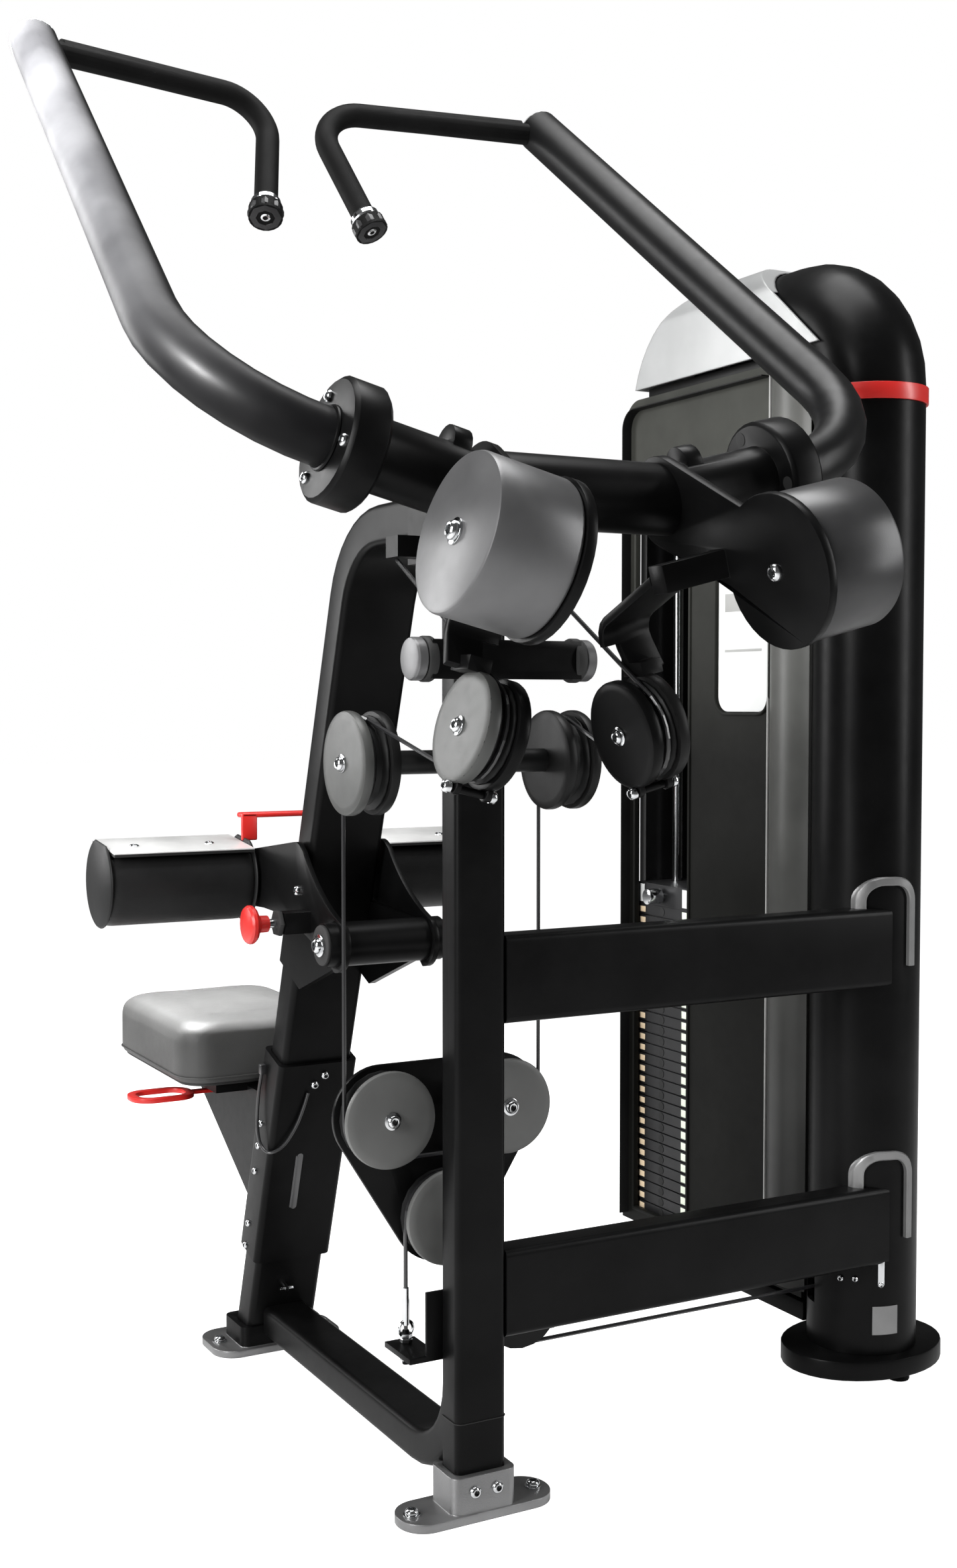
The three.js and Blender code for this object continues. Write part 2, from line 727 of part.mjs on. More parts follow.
// From the anchor over the lower block wheel and down to the wheel on the lower rail.
function liftCable() {
  const { y, lowerZ } = BLOCK;
  const { track } = WHEEL;
  const anchorTop = RAIL.lowerZ - 66 + GAP;
  const over = lowerZ + track;
  return cable(
    [
      [-track, y, anchorTop],
      [-track, y, over],
      [track, y, over],
      [track, y, COLUMN_WHEEL.z + 1],
    ],
    track - GAP,
    8,
  );
}

// Under the column wheel, along below the rail, up inside the tower leg and over the top wheels.
function towerCable() {
  const { y } = BLOCK;
  const { track } = WHEEL;
  const run = COLUMN_WHEEL.z - track;
  const top = TOP_WHEEL.z + TOP_WHEEL.track;
  return cable(
    [
      [track, y, COLUMN_WHEEL.z - 1],
      [track, y, run],
      [STACK.x, y, run],
      [STACK.x, y, top],
      [STACK.x, TOP_WHEEL.backY + TOP_WHEEL.track, top],
      [STACK.x, TOP_WHEEL.backY + TOP_WHEEL.track, TOP_WHEEL.z - 1],
    ],
    [track - 2, BASE_WHEEL.track, TOP_WHEEL.track, TOP_WHEEL.track],
    8,
  );
}

// ---------------------------------------------------------------- tower

function legPath() {
  const { x, y, bend, archZ, end } = LEG;
  return new BentPath([[x, y, TOWER_PLATE.top + GAP], [x, y, archZ], [x, end, archZ]], bend, { steps: 8 });
}

function archTube(grow = 0) {
  return sweep(polygon(LEG.radius + grow, 32), legPath());
}

// The hollow arch of the tower, slotted for the base wheel, with the axles of three wheels.
function towerArch() {
  const shell = cut(archTube(), sweep(polygon(LEG.inner, 16), longer(legPath())));
  const slot = block([LEG.x - 90, BLOCK.y - 15, 160], [LEG.x - 40, BLOCK.y + 15, 300]);
  const base = BASE_WHEEL;
  const baseAxle = rod([base.x, LEG.y - 74, base.z], [base.x, LEG.y + 74, base.z], 8, 12);
  const frontAxle = rod(
    [LEG.x - 76, TOP_WHEEL.frontY, TOP_WHEEL.z],
    [LEG.x + 76, TOP_WHEEL.frontY, TOP_WHEEL.z],
    8,
    12,
  );
  const { z: wheelZ, backY } = TOP_WHEEL;
  const [nearX, farX, startY] = [STACK.x + 16, STACK.x + 24, LEG.end - 30];
  const arm = block([nearX, startY, wheelZ - 4], [farX, backY + 20, wheelZ + 24]);
  const backAxle = rod([STACK.x - 14, backY, wheelZ], [STACK.x + 20, backY, wheelZ], 8, 12);
  const strut = block([nearX, startY, wheelZ - 24], [farX, LEG.end, wheelZ + 30]);
  return join(cut(shell, slot), baseAxle, frontAxle, arm, backAxle, strut);
}

// The same path, pushed past both ends so that a cut along it leaves no skin.
function longer(path) {
  path.points[0] = path.points[0].clone().addScaledVector(path.tangents[0], -5);
  const last = path.points.length - 1;
  path.points[last] = path.points[last].clone().addScaledVector(path.tangents[last], 5);
  return path;
}

function towerBand() {
  const { x, y, radius } = LEG;
  const outer = rod([x, y, 1558], [x, y, 1583], radius + 4, 32);
  return cut(outer, rod([x, y, 1500], [x, y, 1600], radius + GAP, 32));
}

function towerBase() {
  const { bottom, top, halfX, halfY, footRadius } = TOWER_PLATE;
  const outline = new THREE.Shape();
  outline.absellipse(0, 0, halfX, halfY, 0, Math.PI * 2);
  const plate = plateAlongZ(outline, bottom, top, 20).translate(LEG.x, LEG.y, 0);
  const feet = FOOT_SPOTS.map(([right, behind]) => {
    const [x, y] = [LEG.x + right, LEG.y + behind];
    return join(rod([x, y, 0], [x, y, 9], footRadius, 16), rod([x, y, 8], [x, y, bottom + 2], 8, 12));
  });
  return join(plate, ...feet);
}

// Slim post at the back of the tower, with its foot and the arm that holds the rods' top ends.
function rearPost() {
  const { back } = SHROUD;
  const x = STACK.x;
  const post = block([x - 50, back - 20, 30], [x + 50, back - GAP, COVER.bottom - 5]);
  const foot = block([x - 95, back - 80, 12], [x + 95, back + 10, 40]);
  const feet = SIDES.map((side) => {
    const [footX, footY] = [x + side * 70, back - 36];
    return rod([footX, footY, 0], [footX, footY, 14], 22, 16);
  });
  const arm = block([x - 30, STACK.y - ROD.spacing - 24, ROD.top + GAP], [x + 30, back - 15, ROD.top + 26]);
  const cableHole = rod([x, STACK.y, ROD.top - 10], [x, STACK.y, ROD.top + 40], 14, 16);
  return cut(join(post, foot, ...feet, arm), cableHole);
}

function stackBase() {
  const { x, y } = STACK;
  return block([x - 60, LEG.y + 88, 100], [x + 60, SHROUD.back - 20 - GAP, ROD.bottom - GAP]);
}

function guideRod(along) {
  const y = STACK.y + along * ROD.spacing;
  return rod([STACK.x, y, ROD.bottom], [STACK.x, y, ROD.top], ROD.radius, 14);
}

function stackHoles(fromZ, toZ) {
  return [-1, 1].map((along) => {
    const y = STACK.y + along * ROD.spacing;
    return rod([STACK.x, y, fromZ], [STACK.x, y, toZ], ROD.radius + 1.5, 14);
  });
}

// The plates that stay down, as one solid with a groove at each joint between two plates.
function lowerStack() {
  const { x, y, depth, width, bottom, top } = STACK;
  const body = block([x - depth / 2, y - width / 2, bottom], [x + depth / 2, y + width / 2, top]);
  const count = Math.floor((top - bottom) / STACK_PLATE);
  const pitch = (top - bottom) / count;
  const grooves = [];
  for (let i = 1; i < count; i += 1) {
    const z = bottom + i * pitch;
    const [face, side] = [x - depth / 2, width / 2 + 1];
    grooves.push(block([face - 1, y - side, z - 1.2], [face + 4, y + side, z + 1.2]));
  }
  const bore = rod([x, y, bottom - 1], [x, y, top + 1], STEM_RADIUS + 2, 14);
  return cut(body, ...grooves, bore, ...stackHoles(bottom - 1, top + 1));
}

// The top plate with the drilled stem that hangs through the stack.
function stackHead() {
  const { x, y, depth, width, bottom, top, headTop } = STACK;
  const plate = block([x - depth / 2, y - width / 2, top + GAP], [x + depth / 2, y + width / 2, headTop]);
  const stem = rod([x, y, bottom + 10], [x, y, headTop + 46], STEM_RADIUS, 14);
  const pinHole = rod([x - depth / 2 - 1, y, pinZ()], [x + 6, y, pinZ()], 5.4, 12);
  return cut(join(plate, stem), pinHole, ...stackHoles(top - 5, headTop + 1));
}

function pinZ() {
  return (STACK.top + STACK.headTop) / 2;
}

function selectorPin() {
  const front = STACK.x - STACK.depth / 2;
  const pin = rod([front - 20, STACK.y, pinZ()], [front + 70, STACK.y, pinZ()], 4.8, 12);
  const knob = rod([front - 34, STACK.y, pinZ()], [front - 6, STACK.y, pinZ()], 14, 18);
  return join(pin, knob);
}

function stackCable() {
  const { x, y, headTop } = STACK;
  return rod([x, y, headTop + 46 + GAP], [x, y, TOP_WHEEL.z - 1 - 2 * GAP], CABLE_RADIUS, 8);
}

// Panel beside the stack, with the tall opening for the pin and the placard window.
function innerShroud() {
  const { inner, thickness, front, back, bottom, top, topCorner } = SHROUD;
  const sheet = new THREE.Shape();
  sheet.moveTo(front, bottom);
  sheet.lineTo(back, bottom);
  sheet.lineTo(back, top - topCorner);
  sheet.absarc(back - topCorner, top - topCorner, topCorner, 0, Math.PI / 2);
  sheet.lineTo(front, top);
  const panel = plateAlongX(sheet, inner, inner + thickness, 8);
  const slot = block([inner - 5, SLOT.front, SLOT.bottom], [inner + 20, SLOT.back, SLOT.top]);
  const outline = roundedRectangle(WINDOW.back - WINDOW.front, WINDOW.top - WINDOW.bottom, WINDOW.corner);
  const window = plateAlongX(outline, inner - 5, inner + 20, 5).translate(
    0,
    (WINDOW.front + WINDOW.back) / 2,
    (WINDOW.bottom + WINDOW.top) / 2,
  );
  return cut(panel, slot, window, archTube(4));
}

function placard() {
  const { front, back, bottom, top, corner } = WINDOW;
  const outline = roundedRectangle(back - front - 2, top - bottom - 2, corner - 1);
  return plateAlongX(outline, SHROUD.inner + 2, SHROUD.inner + 6, 5).translate(
    0,
    (front + back) / 2,
    (bottom + top) / 2,
  );
}

function outerShroud() {
  const { outer, thickness, front, back, bottom, top } = SHROUD;
  return block([outer, front, bottom], [outer + thickness, back, top]);
}

// Outline of the cap seen from the side: sloping at the front, rounded at the back.
function coverOutline(inset, skirt) {
  const { bottom, top, back } = COVER;
  const outline = new THREE.Shape();
  outline.moveTo(75, bottom - skirt);
  outline.lineTo(back - inset, bottom - skirt);
  outline.lineTo(back - inset, bottom);
  outline.quadraticCurveTo(back - 40 - inset, top - 16 - inset, 345, top - inset);
  outline.lineTo(255, top - inset);
  outline.lineTo(75, bottom);
  return outline;
}

function coverBody(inset, skirt) {
  const { inner, outer, top, edge } = COVER;
  const side = plateAlongX(coverOutline(inset, skirt), inner + inset, outer - inset, 10);
  const height = 260;
  const front = roundedRectangle(outer - inner - 2 * inset, height - 2 * inset, edge - inset);
  const sleeve = plateAlongY(front, 0, 700, 5).translate((inner + outer) / 2, 0, top - height / 2);
  return common(side, sleeve);
}

// The light cap over the back of the arch, open below and at the front around the arch.
function topCover() {
  const { inner, outer, wall, top } = COVER;
  const doorway = block([inner + wall, 0, top - 400], [outer - wall, LEG.end, top - wall - 50]);
  return cut(coverBody(0, 0), coverBody(wall, 60), doorway, archTube(2));
}

// ---------------------------------------------------------------- seat and thigh pads

// A sleeve that slides on the seat column, with the bracket that holds the seat out behind it.
function seatCarriage() {
  const { bottom, top, wall } = CARRIAGE;
  const sleeve = leaningTube(wall, bottom, top);
  const y = seatColumnY(bottom) + 20;
  const bracket = new THREE.Shape([
    new THREE.Vector2(seatColumnY(SEAT.bottom) + 10, SEAT.bottom - 6),
    new THREE.Vector2(y, bottom + 60),
    new THREE.Vector2(y + 62, bottom + 72),
    new THREE.Vector2(SEAT.back - 150, SEAT.bottom - 50),
    new THREE.Vector2(SEAT.back - 60, SEAT.bottom - 6),
  ]);
  const base = block([-90, SEAT.front + 20, SEAT.bottom - 14], [90, SEAT.back - 50, SEAT.bottom - GAP]);
  const whole = join(sleeve, plateAlongX(bracket, -34, 34), base);
  return cut(whole, leaningTube(1, bottom - 40, top + 40));
}

function seatPad() {
  const { halfWidth, front, back, bottom, top } = SEAT;
  const outline = roundedRectangle(2 * halfWidth, back - front, 55);
  return plateAlongZ(outline, bottom, top, 6).translate(0, (front + back) / 2, 0);
}

// A flat loop under the seat that frees the carriage.
function seatLever() {
  const outline = roundedRectangle(114, 84, 36);
  outline.holes.push(roundedRectangle(86, 56, 24));
  const loop = plateAlongZ(outline, 408, 416, 5).translate(-146, 890, 0);
  return join(loop, block([-94, 882, 409], [-34 - 4 * GAP, 898, 415]));
}

// Two side plates that turn on the pivot tube, joined by the tube that carries the pads.
function thighBracket() {
  const { y, z, radius } = THIGH_AXIS;
  const { inner, thickness } = SIDE_PLATE;
  const pad = THIGH_PAD;
  const outline = bandAround([[y, z, radius + 9], [pad.y - 20, pad.z, 46], [y + 150, z + 105, 36]]);
  const plates = SIDES.map((side) => {
    const [near, far] = [side * inner, side * (inner + thickness)].sort((a, b) => a - b);
    const below = side < 0 ? PLATE_SCOOPS.leftBelow : PLATE_SCOOPS.rightBelow;
    const scoops = [PLATE_SCOOPS.above, below].map(([atY, atZ, reach]) => (
      rod([near - 5, atY, atZ], [far + 5, atY, atZ], reach, 96)));
    return cut(plateAlongX(outline, near, far, 6), ...scoops);
  });
  const cross = rod([-pad.outer + 30, pad.y, pad.z], [pad.outer - 30, pad.y, pad.z], 20, 16);
  const pinBlock = block([-118, 396 - 18, 768 - 16], [-inner - 2, 396 + 18, 768 + 16]);
  const pinHole = rod([-130, 396, 768], [-60, 396, 768], 7.4, 12);
  const pivot = rod([-100, y, z], [100, y, z], radius + GAP, 24);
  return cut(join(...plates, cross, pinBlock), pinHole, pivot);
}

function thighPad(side) {
  const { radius, y, z, inner, outer } = THIGH_PAD;
  const roll = rod([inner, y, z], [outer, y, z], radius, 28);
  const board = block([inner, y - radius + 4, z + 44], [outer, y + radius - 4, z + radius]);
  const trimmed = join(cut(roll, block([0, y - 100, z + 46], [400, y + 100, z + 100])), board);
  return mirrored(cut(trimmed, rod([inner - 5, y, z], [outer - 29, y, z], 20 + GAP, 16)), side);
}

// The bent strap that lifts the thigh pads; it stands on the side plates.
function thighHandle() {
  const { y, z } = THIGH_PAD;
  const half = SIDE_PLATE.inner + SIDE_PLATE.thickness / 2;
  const [low, high] = [z + 50, z + 108];
  const path = new BentPath([[-half, y, low], [-half, y, high], [half, y, high], [half, y, low]], 14, {
    steps: 4,
    side: [0, 1, 0],
  });
  return sweep(roundedRectangle(26, 7, 2), path, 1);
}

function pullPin() {
  const profile = [
    [0, -170], [23, -170], [27, -163], [23, -154], [12, -148], [12, -132], [7, -128], [7, -67], [0, -67],
  ];
  const points = profile.map(([radius, along]) => new THREE.Vector2(radius, along));
  return new THREE.LatheGeometry(points, 20).rotateZ(-Math.PI / 2).translate(0, 396, 768);
}

// ---------------------------------------------------------------- the whole machine

function addFrame() {
  place(machine, 'main_column', mainColumn(), FINISH.frame);
  place(machine, 'front_foot', frontFoot(), FINISH.cast);
  place(machine, 'rear_foot', rearFoot(), FINISH.cast);
  place(machine, 'seat_column', seatColumn(), FINISH.frame);
  place(machine, 'cross_tube', crossTube(), FINISH.frame);
  place(machine, 'bumper_bar', bumperBar(), FINISH.frame);
  place(machine, 'pulley_bar', pulleyBar(), FINISH.plastic);
  place(machine, 'upper_rail', rail(RAIL.upperZ), FINISH.frame);
  place(machine, 'lower_rail', lowerRail(), FINISH.frame);
  place(machine, 'cable_anchor', cableAnchor(), FINISH.frame);
}

function addTower() {
  place(machine, 'tower_arch', towerArch(), FINISH.frame);
  place(machine, 'tower_band', towerBand(), FINISH.red);
  place(machine, 'tower_base', towerBase(), FINISH.frame);
  place(machine, 'rear_post', rearPost(), FINISH.frame);
  place(machine, 'stack_base', stackBase(), FINISH.frame);
  place(machine, 'inner_shroud', innerShroud(), FINISH.shroud);
  place(machine, 'outer_shroud', outerShroud(), FINISH.shroud);
  place(machine, 'placard', placard(), FINISH.silver);
  place(machine, 'top_cover', topCover(), FINISH.silver);
  place(machine, 'front_guide_rod', guideRod(-1), FINISH.steel);
  place(machine, 'back_guide_rod', guideRod(1), FINISH.steel);
  place(machine, 'lower_stack', lowerStack(), FINISH.plate);
  place(machine, 'stack_head', stackHead(), FINISH.plate);
  place(machine, 'selector_pin', selectorPin(), FINISH.steel);
}

function addArm(side) {
  const group = armFrame(side);
  const name = sideName(side);
  machine.add(group);
  place(group, `${name}_hub`, mirrored(hub(), side), FINISH.frame);
  place(group, `${name}_arm_tube`, mirrored(armTube(), side), FINISH.frame);
  place(group, `${name}_handle`, mirrored(handle(), side), FINISH.foam);
  place(group, `${name}_counterweight`, mirrored(counterweight(), side), FINISH.plastic);
  place(group, `${name}_swing_bar`, mirrored(swingBar(), side), FINISH.frame);
  const moving = place(group, `${name}_arm_wheel`, wheel({ track: WHEEL.track }), FINISH.plastic);
  moving.position.set(side * ARM_WHEEL.x, ARM_WHEEL.y, ARM_WHEEL.z);
  place(machine, `${name}_arm_cable`, armCable(side), FINISH.cable);
}

function addWheel(name, size, position, axis) {
  const mesh = place(machine, name, wheel(size), FINISH.plastic);
  if (axis === 'y') mesh.rotation.z = Math.PI / 2;
  mesh.position.set(...position);
}

function addWheels() {
  const { track } = WHEEL;
  for (const side of SIDES) {
    const name = sideName(side);
    const at = [side * GUIDE.x, GUIDE.y, GUIDE.z];
    addWheel(`${name}_guide_wheel`, { track, bore: GUIDE.bar + 0.4 }, at, 'x');
    addWheel(`${name}_block_wheel`, { track }, [side * BLOCK.x, BLOCK.y, BLOCK.upperZ], 'y');
  }
  addWheel('low_block_wheel', { track }, [0, BLOCK.y, BLOCK.lowerZ], 'y');
  addWheel('column_wheel', { track }, [COLUMN_WHEEL.x, BLOCK.y, COLUMN_WHEEL.z], 'y');
  const base = BASE_WHEEL;
  addWheel('base_wheel', { track: base.track, width: 20 }, [base.x, BLOCK.y, base.z], 'y');
  const top = { track: TOP_WHEEL.track, width: 20 };
  addWheel('front_top_wheel', top, [STACK.x, TOP_WHEEL.frontY, TOP_WHEEL.z], 'x');
  addWheel('back_top_wheel', top, [STACK.x, TOP_WHEEL.backY, TOP_WHEEL.z], 'x');
}

function addCables() {
  place(machine, 'floating_block', floatingBlock(), FINISH.frame);
  place(machine, 'block_cable', blockCable(), FINISH.cable);
  place(machine, 'lift_cable', liftCable(), FINISH.cable);
  place(machine, 'tower_cable', towerCable(), FINISH.cable);
  place(machine, 'stack_cable', stackCable(), FINISH.cable);
}

function addSeat() {
  place(machine, 'seat_carriage', seatCarriage(), FINISH.frame);
  place(machine, 'seat_pad', seatPad(), FINISH.vinyl);
  place(machine, 'seat_lever', seatLever(), FINISH.red);
  place(machine, 'thigh_bracket', thighBracket(), FINISH.frame);
  place(machine, 'left_thigh_pad', thighPad(-1), FINISH.vinyl);
  place(machine, 'right_thigh_pad', thighPad(1), FINISH.vinyl);
  place(machine, 'thigh_handle', thighHandle(), FINISH.red);
  place(machine, 'pull_pin', pullPin(), FINISH.red);
}

addFrame();
addTower();
SIDES.forEach(addArm);
addWheels();
addCables();
addSeat();

export default machine;
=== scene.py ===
"""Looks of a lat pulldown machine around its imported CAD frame. Metres, +Z up, seat on the +Y side."""

import json
import math

import bmesh
import bpy
import numpy as np
from mathutils import Matrix, Vector

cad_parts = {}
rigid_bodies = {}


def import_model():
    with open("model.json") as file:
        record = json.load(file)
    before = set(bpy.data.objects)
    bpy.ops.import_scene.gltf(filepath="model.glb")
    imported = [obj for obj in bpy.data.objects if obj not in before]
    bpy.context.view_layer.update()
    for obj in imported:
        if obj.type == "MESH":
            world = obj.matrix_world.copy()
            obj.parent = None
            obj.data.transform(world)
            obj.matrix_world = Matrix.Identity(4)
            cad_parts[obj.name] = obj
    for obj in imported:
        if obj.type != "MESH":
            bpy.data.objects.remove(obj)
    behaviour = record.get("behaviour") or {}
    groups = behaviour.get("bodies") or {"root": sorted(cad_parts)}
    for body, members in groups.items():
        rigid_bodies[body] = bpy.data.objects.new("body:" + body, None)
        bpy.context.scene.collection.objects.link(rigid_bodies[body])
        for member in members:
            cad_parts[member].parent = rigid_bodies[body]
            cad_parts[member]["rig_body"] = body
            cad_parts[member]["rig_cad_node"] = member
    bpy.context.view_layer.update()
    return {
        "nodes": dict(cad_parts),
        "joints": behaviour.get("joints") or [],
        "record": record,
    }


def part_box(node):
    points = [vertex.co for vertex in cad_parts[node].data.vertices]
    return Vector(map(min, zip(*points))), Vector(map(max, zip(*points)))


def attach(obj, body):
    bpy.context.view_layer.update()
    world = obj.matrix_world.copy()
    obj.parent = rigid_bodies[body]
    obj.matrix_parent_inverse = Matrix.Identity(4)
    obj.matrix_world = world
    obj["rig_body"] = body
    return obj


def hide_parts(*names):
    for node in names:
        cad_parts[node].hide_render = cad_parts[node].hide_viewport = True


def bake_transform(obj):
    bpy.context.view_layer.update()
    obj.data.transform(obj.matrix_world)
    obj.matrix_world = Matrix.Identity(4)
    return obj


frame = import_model()
NODES = frame["nodes"]
JOINTS = {joint["name"]: joint for joint in frame["joints"]}
SIDES = {"left": -1, "right": 1}
X, Y, Z = Vector((1, 0, 0)), Vector((0, 1, 0)), Vector((0, 0, 1))
# Creases steeper than this stay sharp, and the strength of the grey dome.
SHARP, DOME = math.radians(32), 0.09
# Centre line of the leaning seat column: y at the floor, and its change with height.
COLUMN_Y_AT_FLOOR, COLUMN_SLOPE = 0.738, -0.335
# The round leg of the tower, and the height of one plate of the stack.
LEG, LEG_RADIUS, STACK_PITCH = Vector((0.730, 0.060, 0)), 0.085, 0.0195
# Covers of the wheels, from the middle of the wheel outwards.
COVER_START, COVER_RADIUS = 0.0122, 0.0690
# A lever arm in its own frame: the straight tube's two ends, the wheel under it and the weight.
ARM_TIP, ARM_CORNER = Vector((0.453, 0.824, 0.633)), Vector((0.3575, 0, 0))
ARM_WHEEL = Vector((-0.101, 0.020, -0.270))
WEIGHT_RADIUS, WEIGHT_LENGTH = 0.089, 0.104
# Upholstery: size of the mesh, frames of cloth, and rounds of smoothing of its rise and its surface.
VOXEL, CLOTH_FRAMES, EVEN_ROUNDS, SMOOTH_ROUNDS = 0.005, 20, 60, 4


def middle(node):
    low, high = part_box(node)
    return (low + high) / 2


def link(obj):
    bpy.context.scene.collection.objects.link(obj)


def smooth(mesh):
    for face in mesh.polygons:
        face.use_smooth = True


# ---- camera, floor and light


def look_along(obj, direction):
    obj.rotation_euler = direction.to_track_quat("-Z", "Y").to_euler()


def add_camera():
    data = bpy.data.cameras.new("camera")
    data.sensor_fit = "AUTO"
    data.sensor_width = 36
    data.lens = 40.97
    camera = bpy.data.objects.new("camera", data)
    link(camera)
    camera.location = (-1.130, -2.108, 1.100)
    pitch = math.radians(-2.6)
    level = Vector((0.475, 0.88, 0)).normalized()
    look_along(camera, level * math.cos(pitch) + Z * math.sin(pitch))
    bpy.context.scene.camera = camera


def add_light(name, at, target, width, height, watts, spread=180):
    data = bpy.data.lights.new(name, "AREA")
    data.shape = "RECTANGLE"
    data.size = width
    data.size_y = height
    data.energy = watts
    data.spread = math.radians(spread)
    light = bpy.data.objects.new(name, data)
    link(light)
    light.location = at
    look_along(light, (Vector(target) - Vector(at)).normalized())
    return light


def add_lights():
    add_light("softbox_left", (-3.2, -0.9, 2.0), (0, 0.2, 1.1), 1.0, 2.2, 130)
    add_light("softbox_top", (0.0, 0.2, 3.9), (0.0, 0.4, 0.8), 2.6, 1.6, 120)
    add_light("strip_right", (2.6, -1.9, 1.9), (0.7, 0.1, 1.0), 0.4, 2.2, 45)
    add_light("strip_back", (-1.6, 2.4, 1.8), (0, 0.6, 1.0), 0.8, 2.0, 50)
    sheen = add_light("arm_softbox", (-2.6, -1.0, 2.5), (-0.57, 0.42, 2.04), 0.9, 0.9, 620, 24)
    light_only(sheen, "left_arm_light", "left_arm_tube_finished", "left_arm_end")
    above = add_light("seat_softbox", (-0.3, 1.5, 2.0), (0, 0.94, 0.56), 0.6, 0.6, 20, 60)
    light_only(above, "seat_light", "seat_cushion")


def light_only(light, name, *pieces):
    """Lets a light reach the named pieces and nothing else."""
    lit = bpy.data.collections.new(name)
    for piece in pieces:
        lit.objects.link(bpy.data.objects[piece])
    light.light_linking.receiver_collection = lit


def add_world():
    """White behind the object, and a dimmer grey dome as fill light."""
    world = bpy.data.worlds.new("studio")
    world.use_nodes = True
    tree = world.node_tree
    white = tree.nodes["Background"]
    white.inputs["Color"].default_value = (1, 1, 1, 1)
    dome = add_node(tree, "ShaderNodeBackground", Color=(1, 1, 1, 1), Strength=DOME)
    seen = add_node(tree, "ShaderNodeLightPath")
    blend = add_node(tree, "ShaderNodeMixShader")
    tree.links.new(seen.outputs["Is Camera Ray"], blend.inputs["Fac"])
    tree.links.new(dome.outputs["Background"], blend.inputs[1])
    tree.links.new(white.outputs["Background"], blend.inputs[2])
    tree.links.new(blend.outputs["Shader"], tree.nodes["World Output"].inputs["Surface"])
    bpy.context.scene.world = world
    bpy.context.scene.view_settings.view_transform = "Standard"


def add_floor():
    bm = bmesh.new()
    bmesh.ops.create_grid(bm, x_segments=1, y_segments=1, size=30)
    mesh = bpy.data.meshes.new("floor")
    bm.to_mesh(mesh)
    bm.free()
    floor = bpy.data.objects.new("floor", mesh)
    floor.location.z = -0.0005
    link(floor)
    paper = surface("floor_paper", (0.9, 0.9, 0.9), 0.9, grain=0.02, blotch=0.004)
    tree = paper.node_tree
    shader = tree.nodes["Principled BSDF"]
    shader.inputs["Emission Color"].default_value = (1, 1, 1, 1)
    seen = add_node(tree, "ShaderNodeLightPath")
    glow = spread(tree, seen.outputs["Is Camera Ray"], 0.05, 0.93)
    tree.links.new(glow, shader.inputs["Emission Strength"])
    mesh.materials.append(paper)


# ---- materials


def add_node(tree, kind, **values):
    node = tree.nodes.new(kind)
    for key, value in values.items():
        if key in node.inputs:
            node.inputs[key].default_value = value
        else:
            setattr(node, key, value)
    return node


def noise_node(tree, scale, detail=3.0):
    place = add_node(tree, "ShaderNodeTexCoord")
    noise = add_node(tree, "ShaderNodeTexNoise", Scale=scale, Detail=detail)
    tree.links.new(place.outputs["Object"], noise.inputs["Vector"])
    return noise


def two_tone(tree, factor, color, other):
    ramp = add_node(tree, "ShaderNodeValToRGB")
    for stop, place, tone in zip(ramp.color_ramp.elements, (0.35, 0.65), (color, other)):
        stop.position = place
        stop.color = (*tone, 1)
    tree.links.new(factor, ramp.inputs["Fac"])
    return ramp.outputs["Color"]


def spread(tree, factor, low, high):
    reach = add_node(tree, "ShaderNodeMapRange")
    reach.inputs["To Min"].default_value = low
    reach.inputs["To Max"].default_value = high
    tree.links.new(factor, reach.inputs["Value"])
    return reach.outputs["Result"]


def bump(tree, height, distance, strength=1.0, under=None):
    node = add_node(tree, "ShaderNodeBump", Distance=distance, Strength=strength)
    tree.links.new(height, node.inputs["Height"])
    if under:
        tree.links.new(under, node.inputs["Normal"])
    return node.outputs["Normal"]


def surface(name, color, roughness, metallic=0.0, coat=0.0, grain=0.1, scale=900, blotch=0.12,
            edge=0.0, cells=0.0, specular=0.5):
    """A finish with fine grain, soft blotches of tone, uneven gloss and, if asked, softened edges."""
    material = bpy.data.materials.new(name)
    material.use_nodes = True
    tree = material.node_tree
    shader = tree.nodes["Principled BSDF"]
    shader.inputs["Metallic"].default_value = metallic
    shader.inputs["Coat Weight"].default_value = coat
    shader.inputs["Coat Roughness"].default_value = 0.25
    shader.inputs["Specular IOR Level"].default_value = specular
    wide = noise_node(tree, 7, 4)
    fine = noise_node(tree, scale, 2)
    lighter = tuple(min(1, c * (1 + 2 * blotch) + 0.002) for c in color)
    darker = tuple(c * (1 - blotch) for c in color)
    tree.links.new(two_tone(tree, wide.outputs["Fac"], darker, lighter), shader.inputs["Base Color"])
    mid = noise_node(tree, 60, 3)
    gloss = spread(tree, mid.outputs["Fac"], roughness * 0.85, min(1, roughness * 1.15))
    tree.links.new(gloss, shader.inputs["Roughness"])
    normal = None
    if edge:
        rounded = add_node(tree, "ShaderNodeBevel", samples=4, Radius=edge)
        normal = rounded.outputs["Normal"]
    normal = bump(tree, fine.outputs["Fac"], grain * 0.001, 1.0, normal)
    if cells:
        place = add_node(tree, "ShaderNodeTexCoord")
        leather = add_node(tree, "ShaderNodeTexVoronoi", Scale=cells, feature="DISTANCE_TO_EDGE")
        tree.links.new(place.outputs["Object"], leather.inputs["Vector"])
        normal = bump(tree, leather.outputs["Distance"], 0.0004, 0.5, normal)
    tree.links.new(normal, shader.inputs["Normal"])
    return material


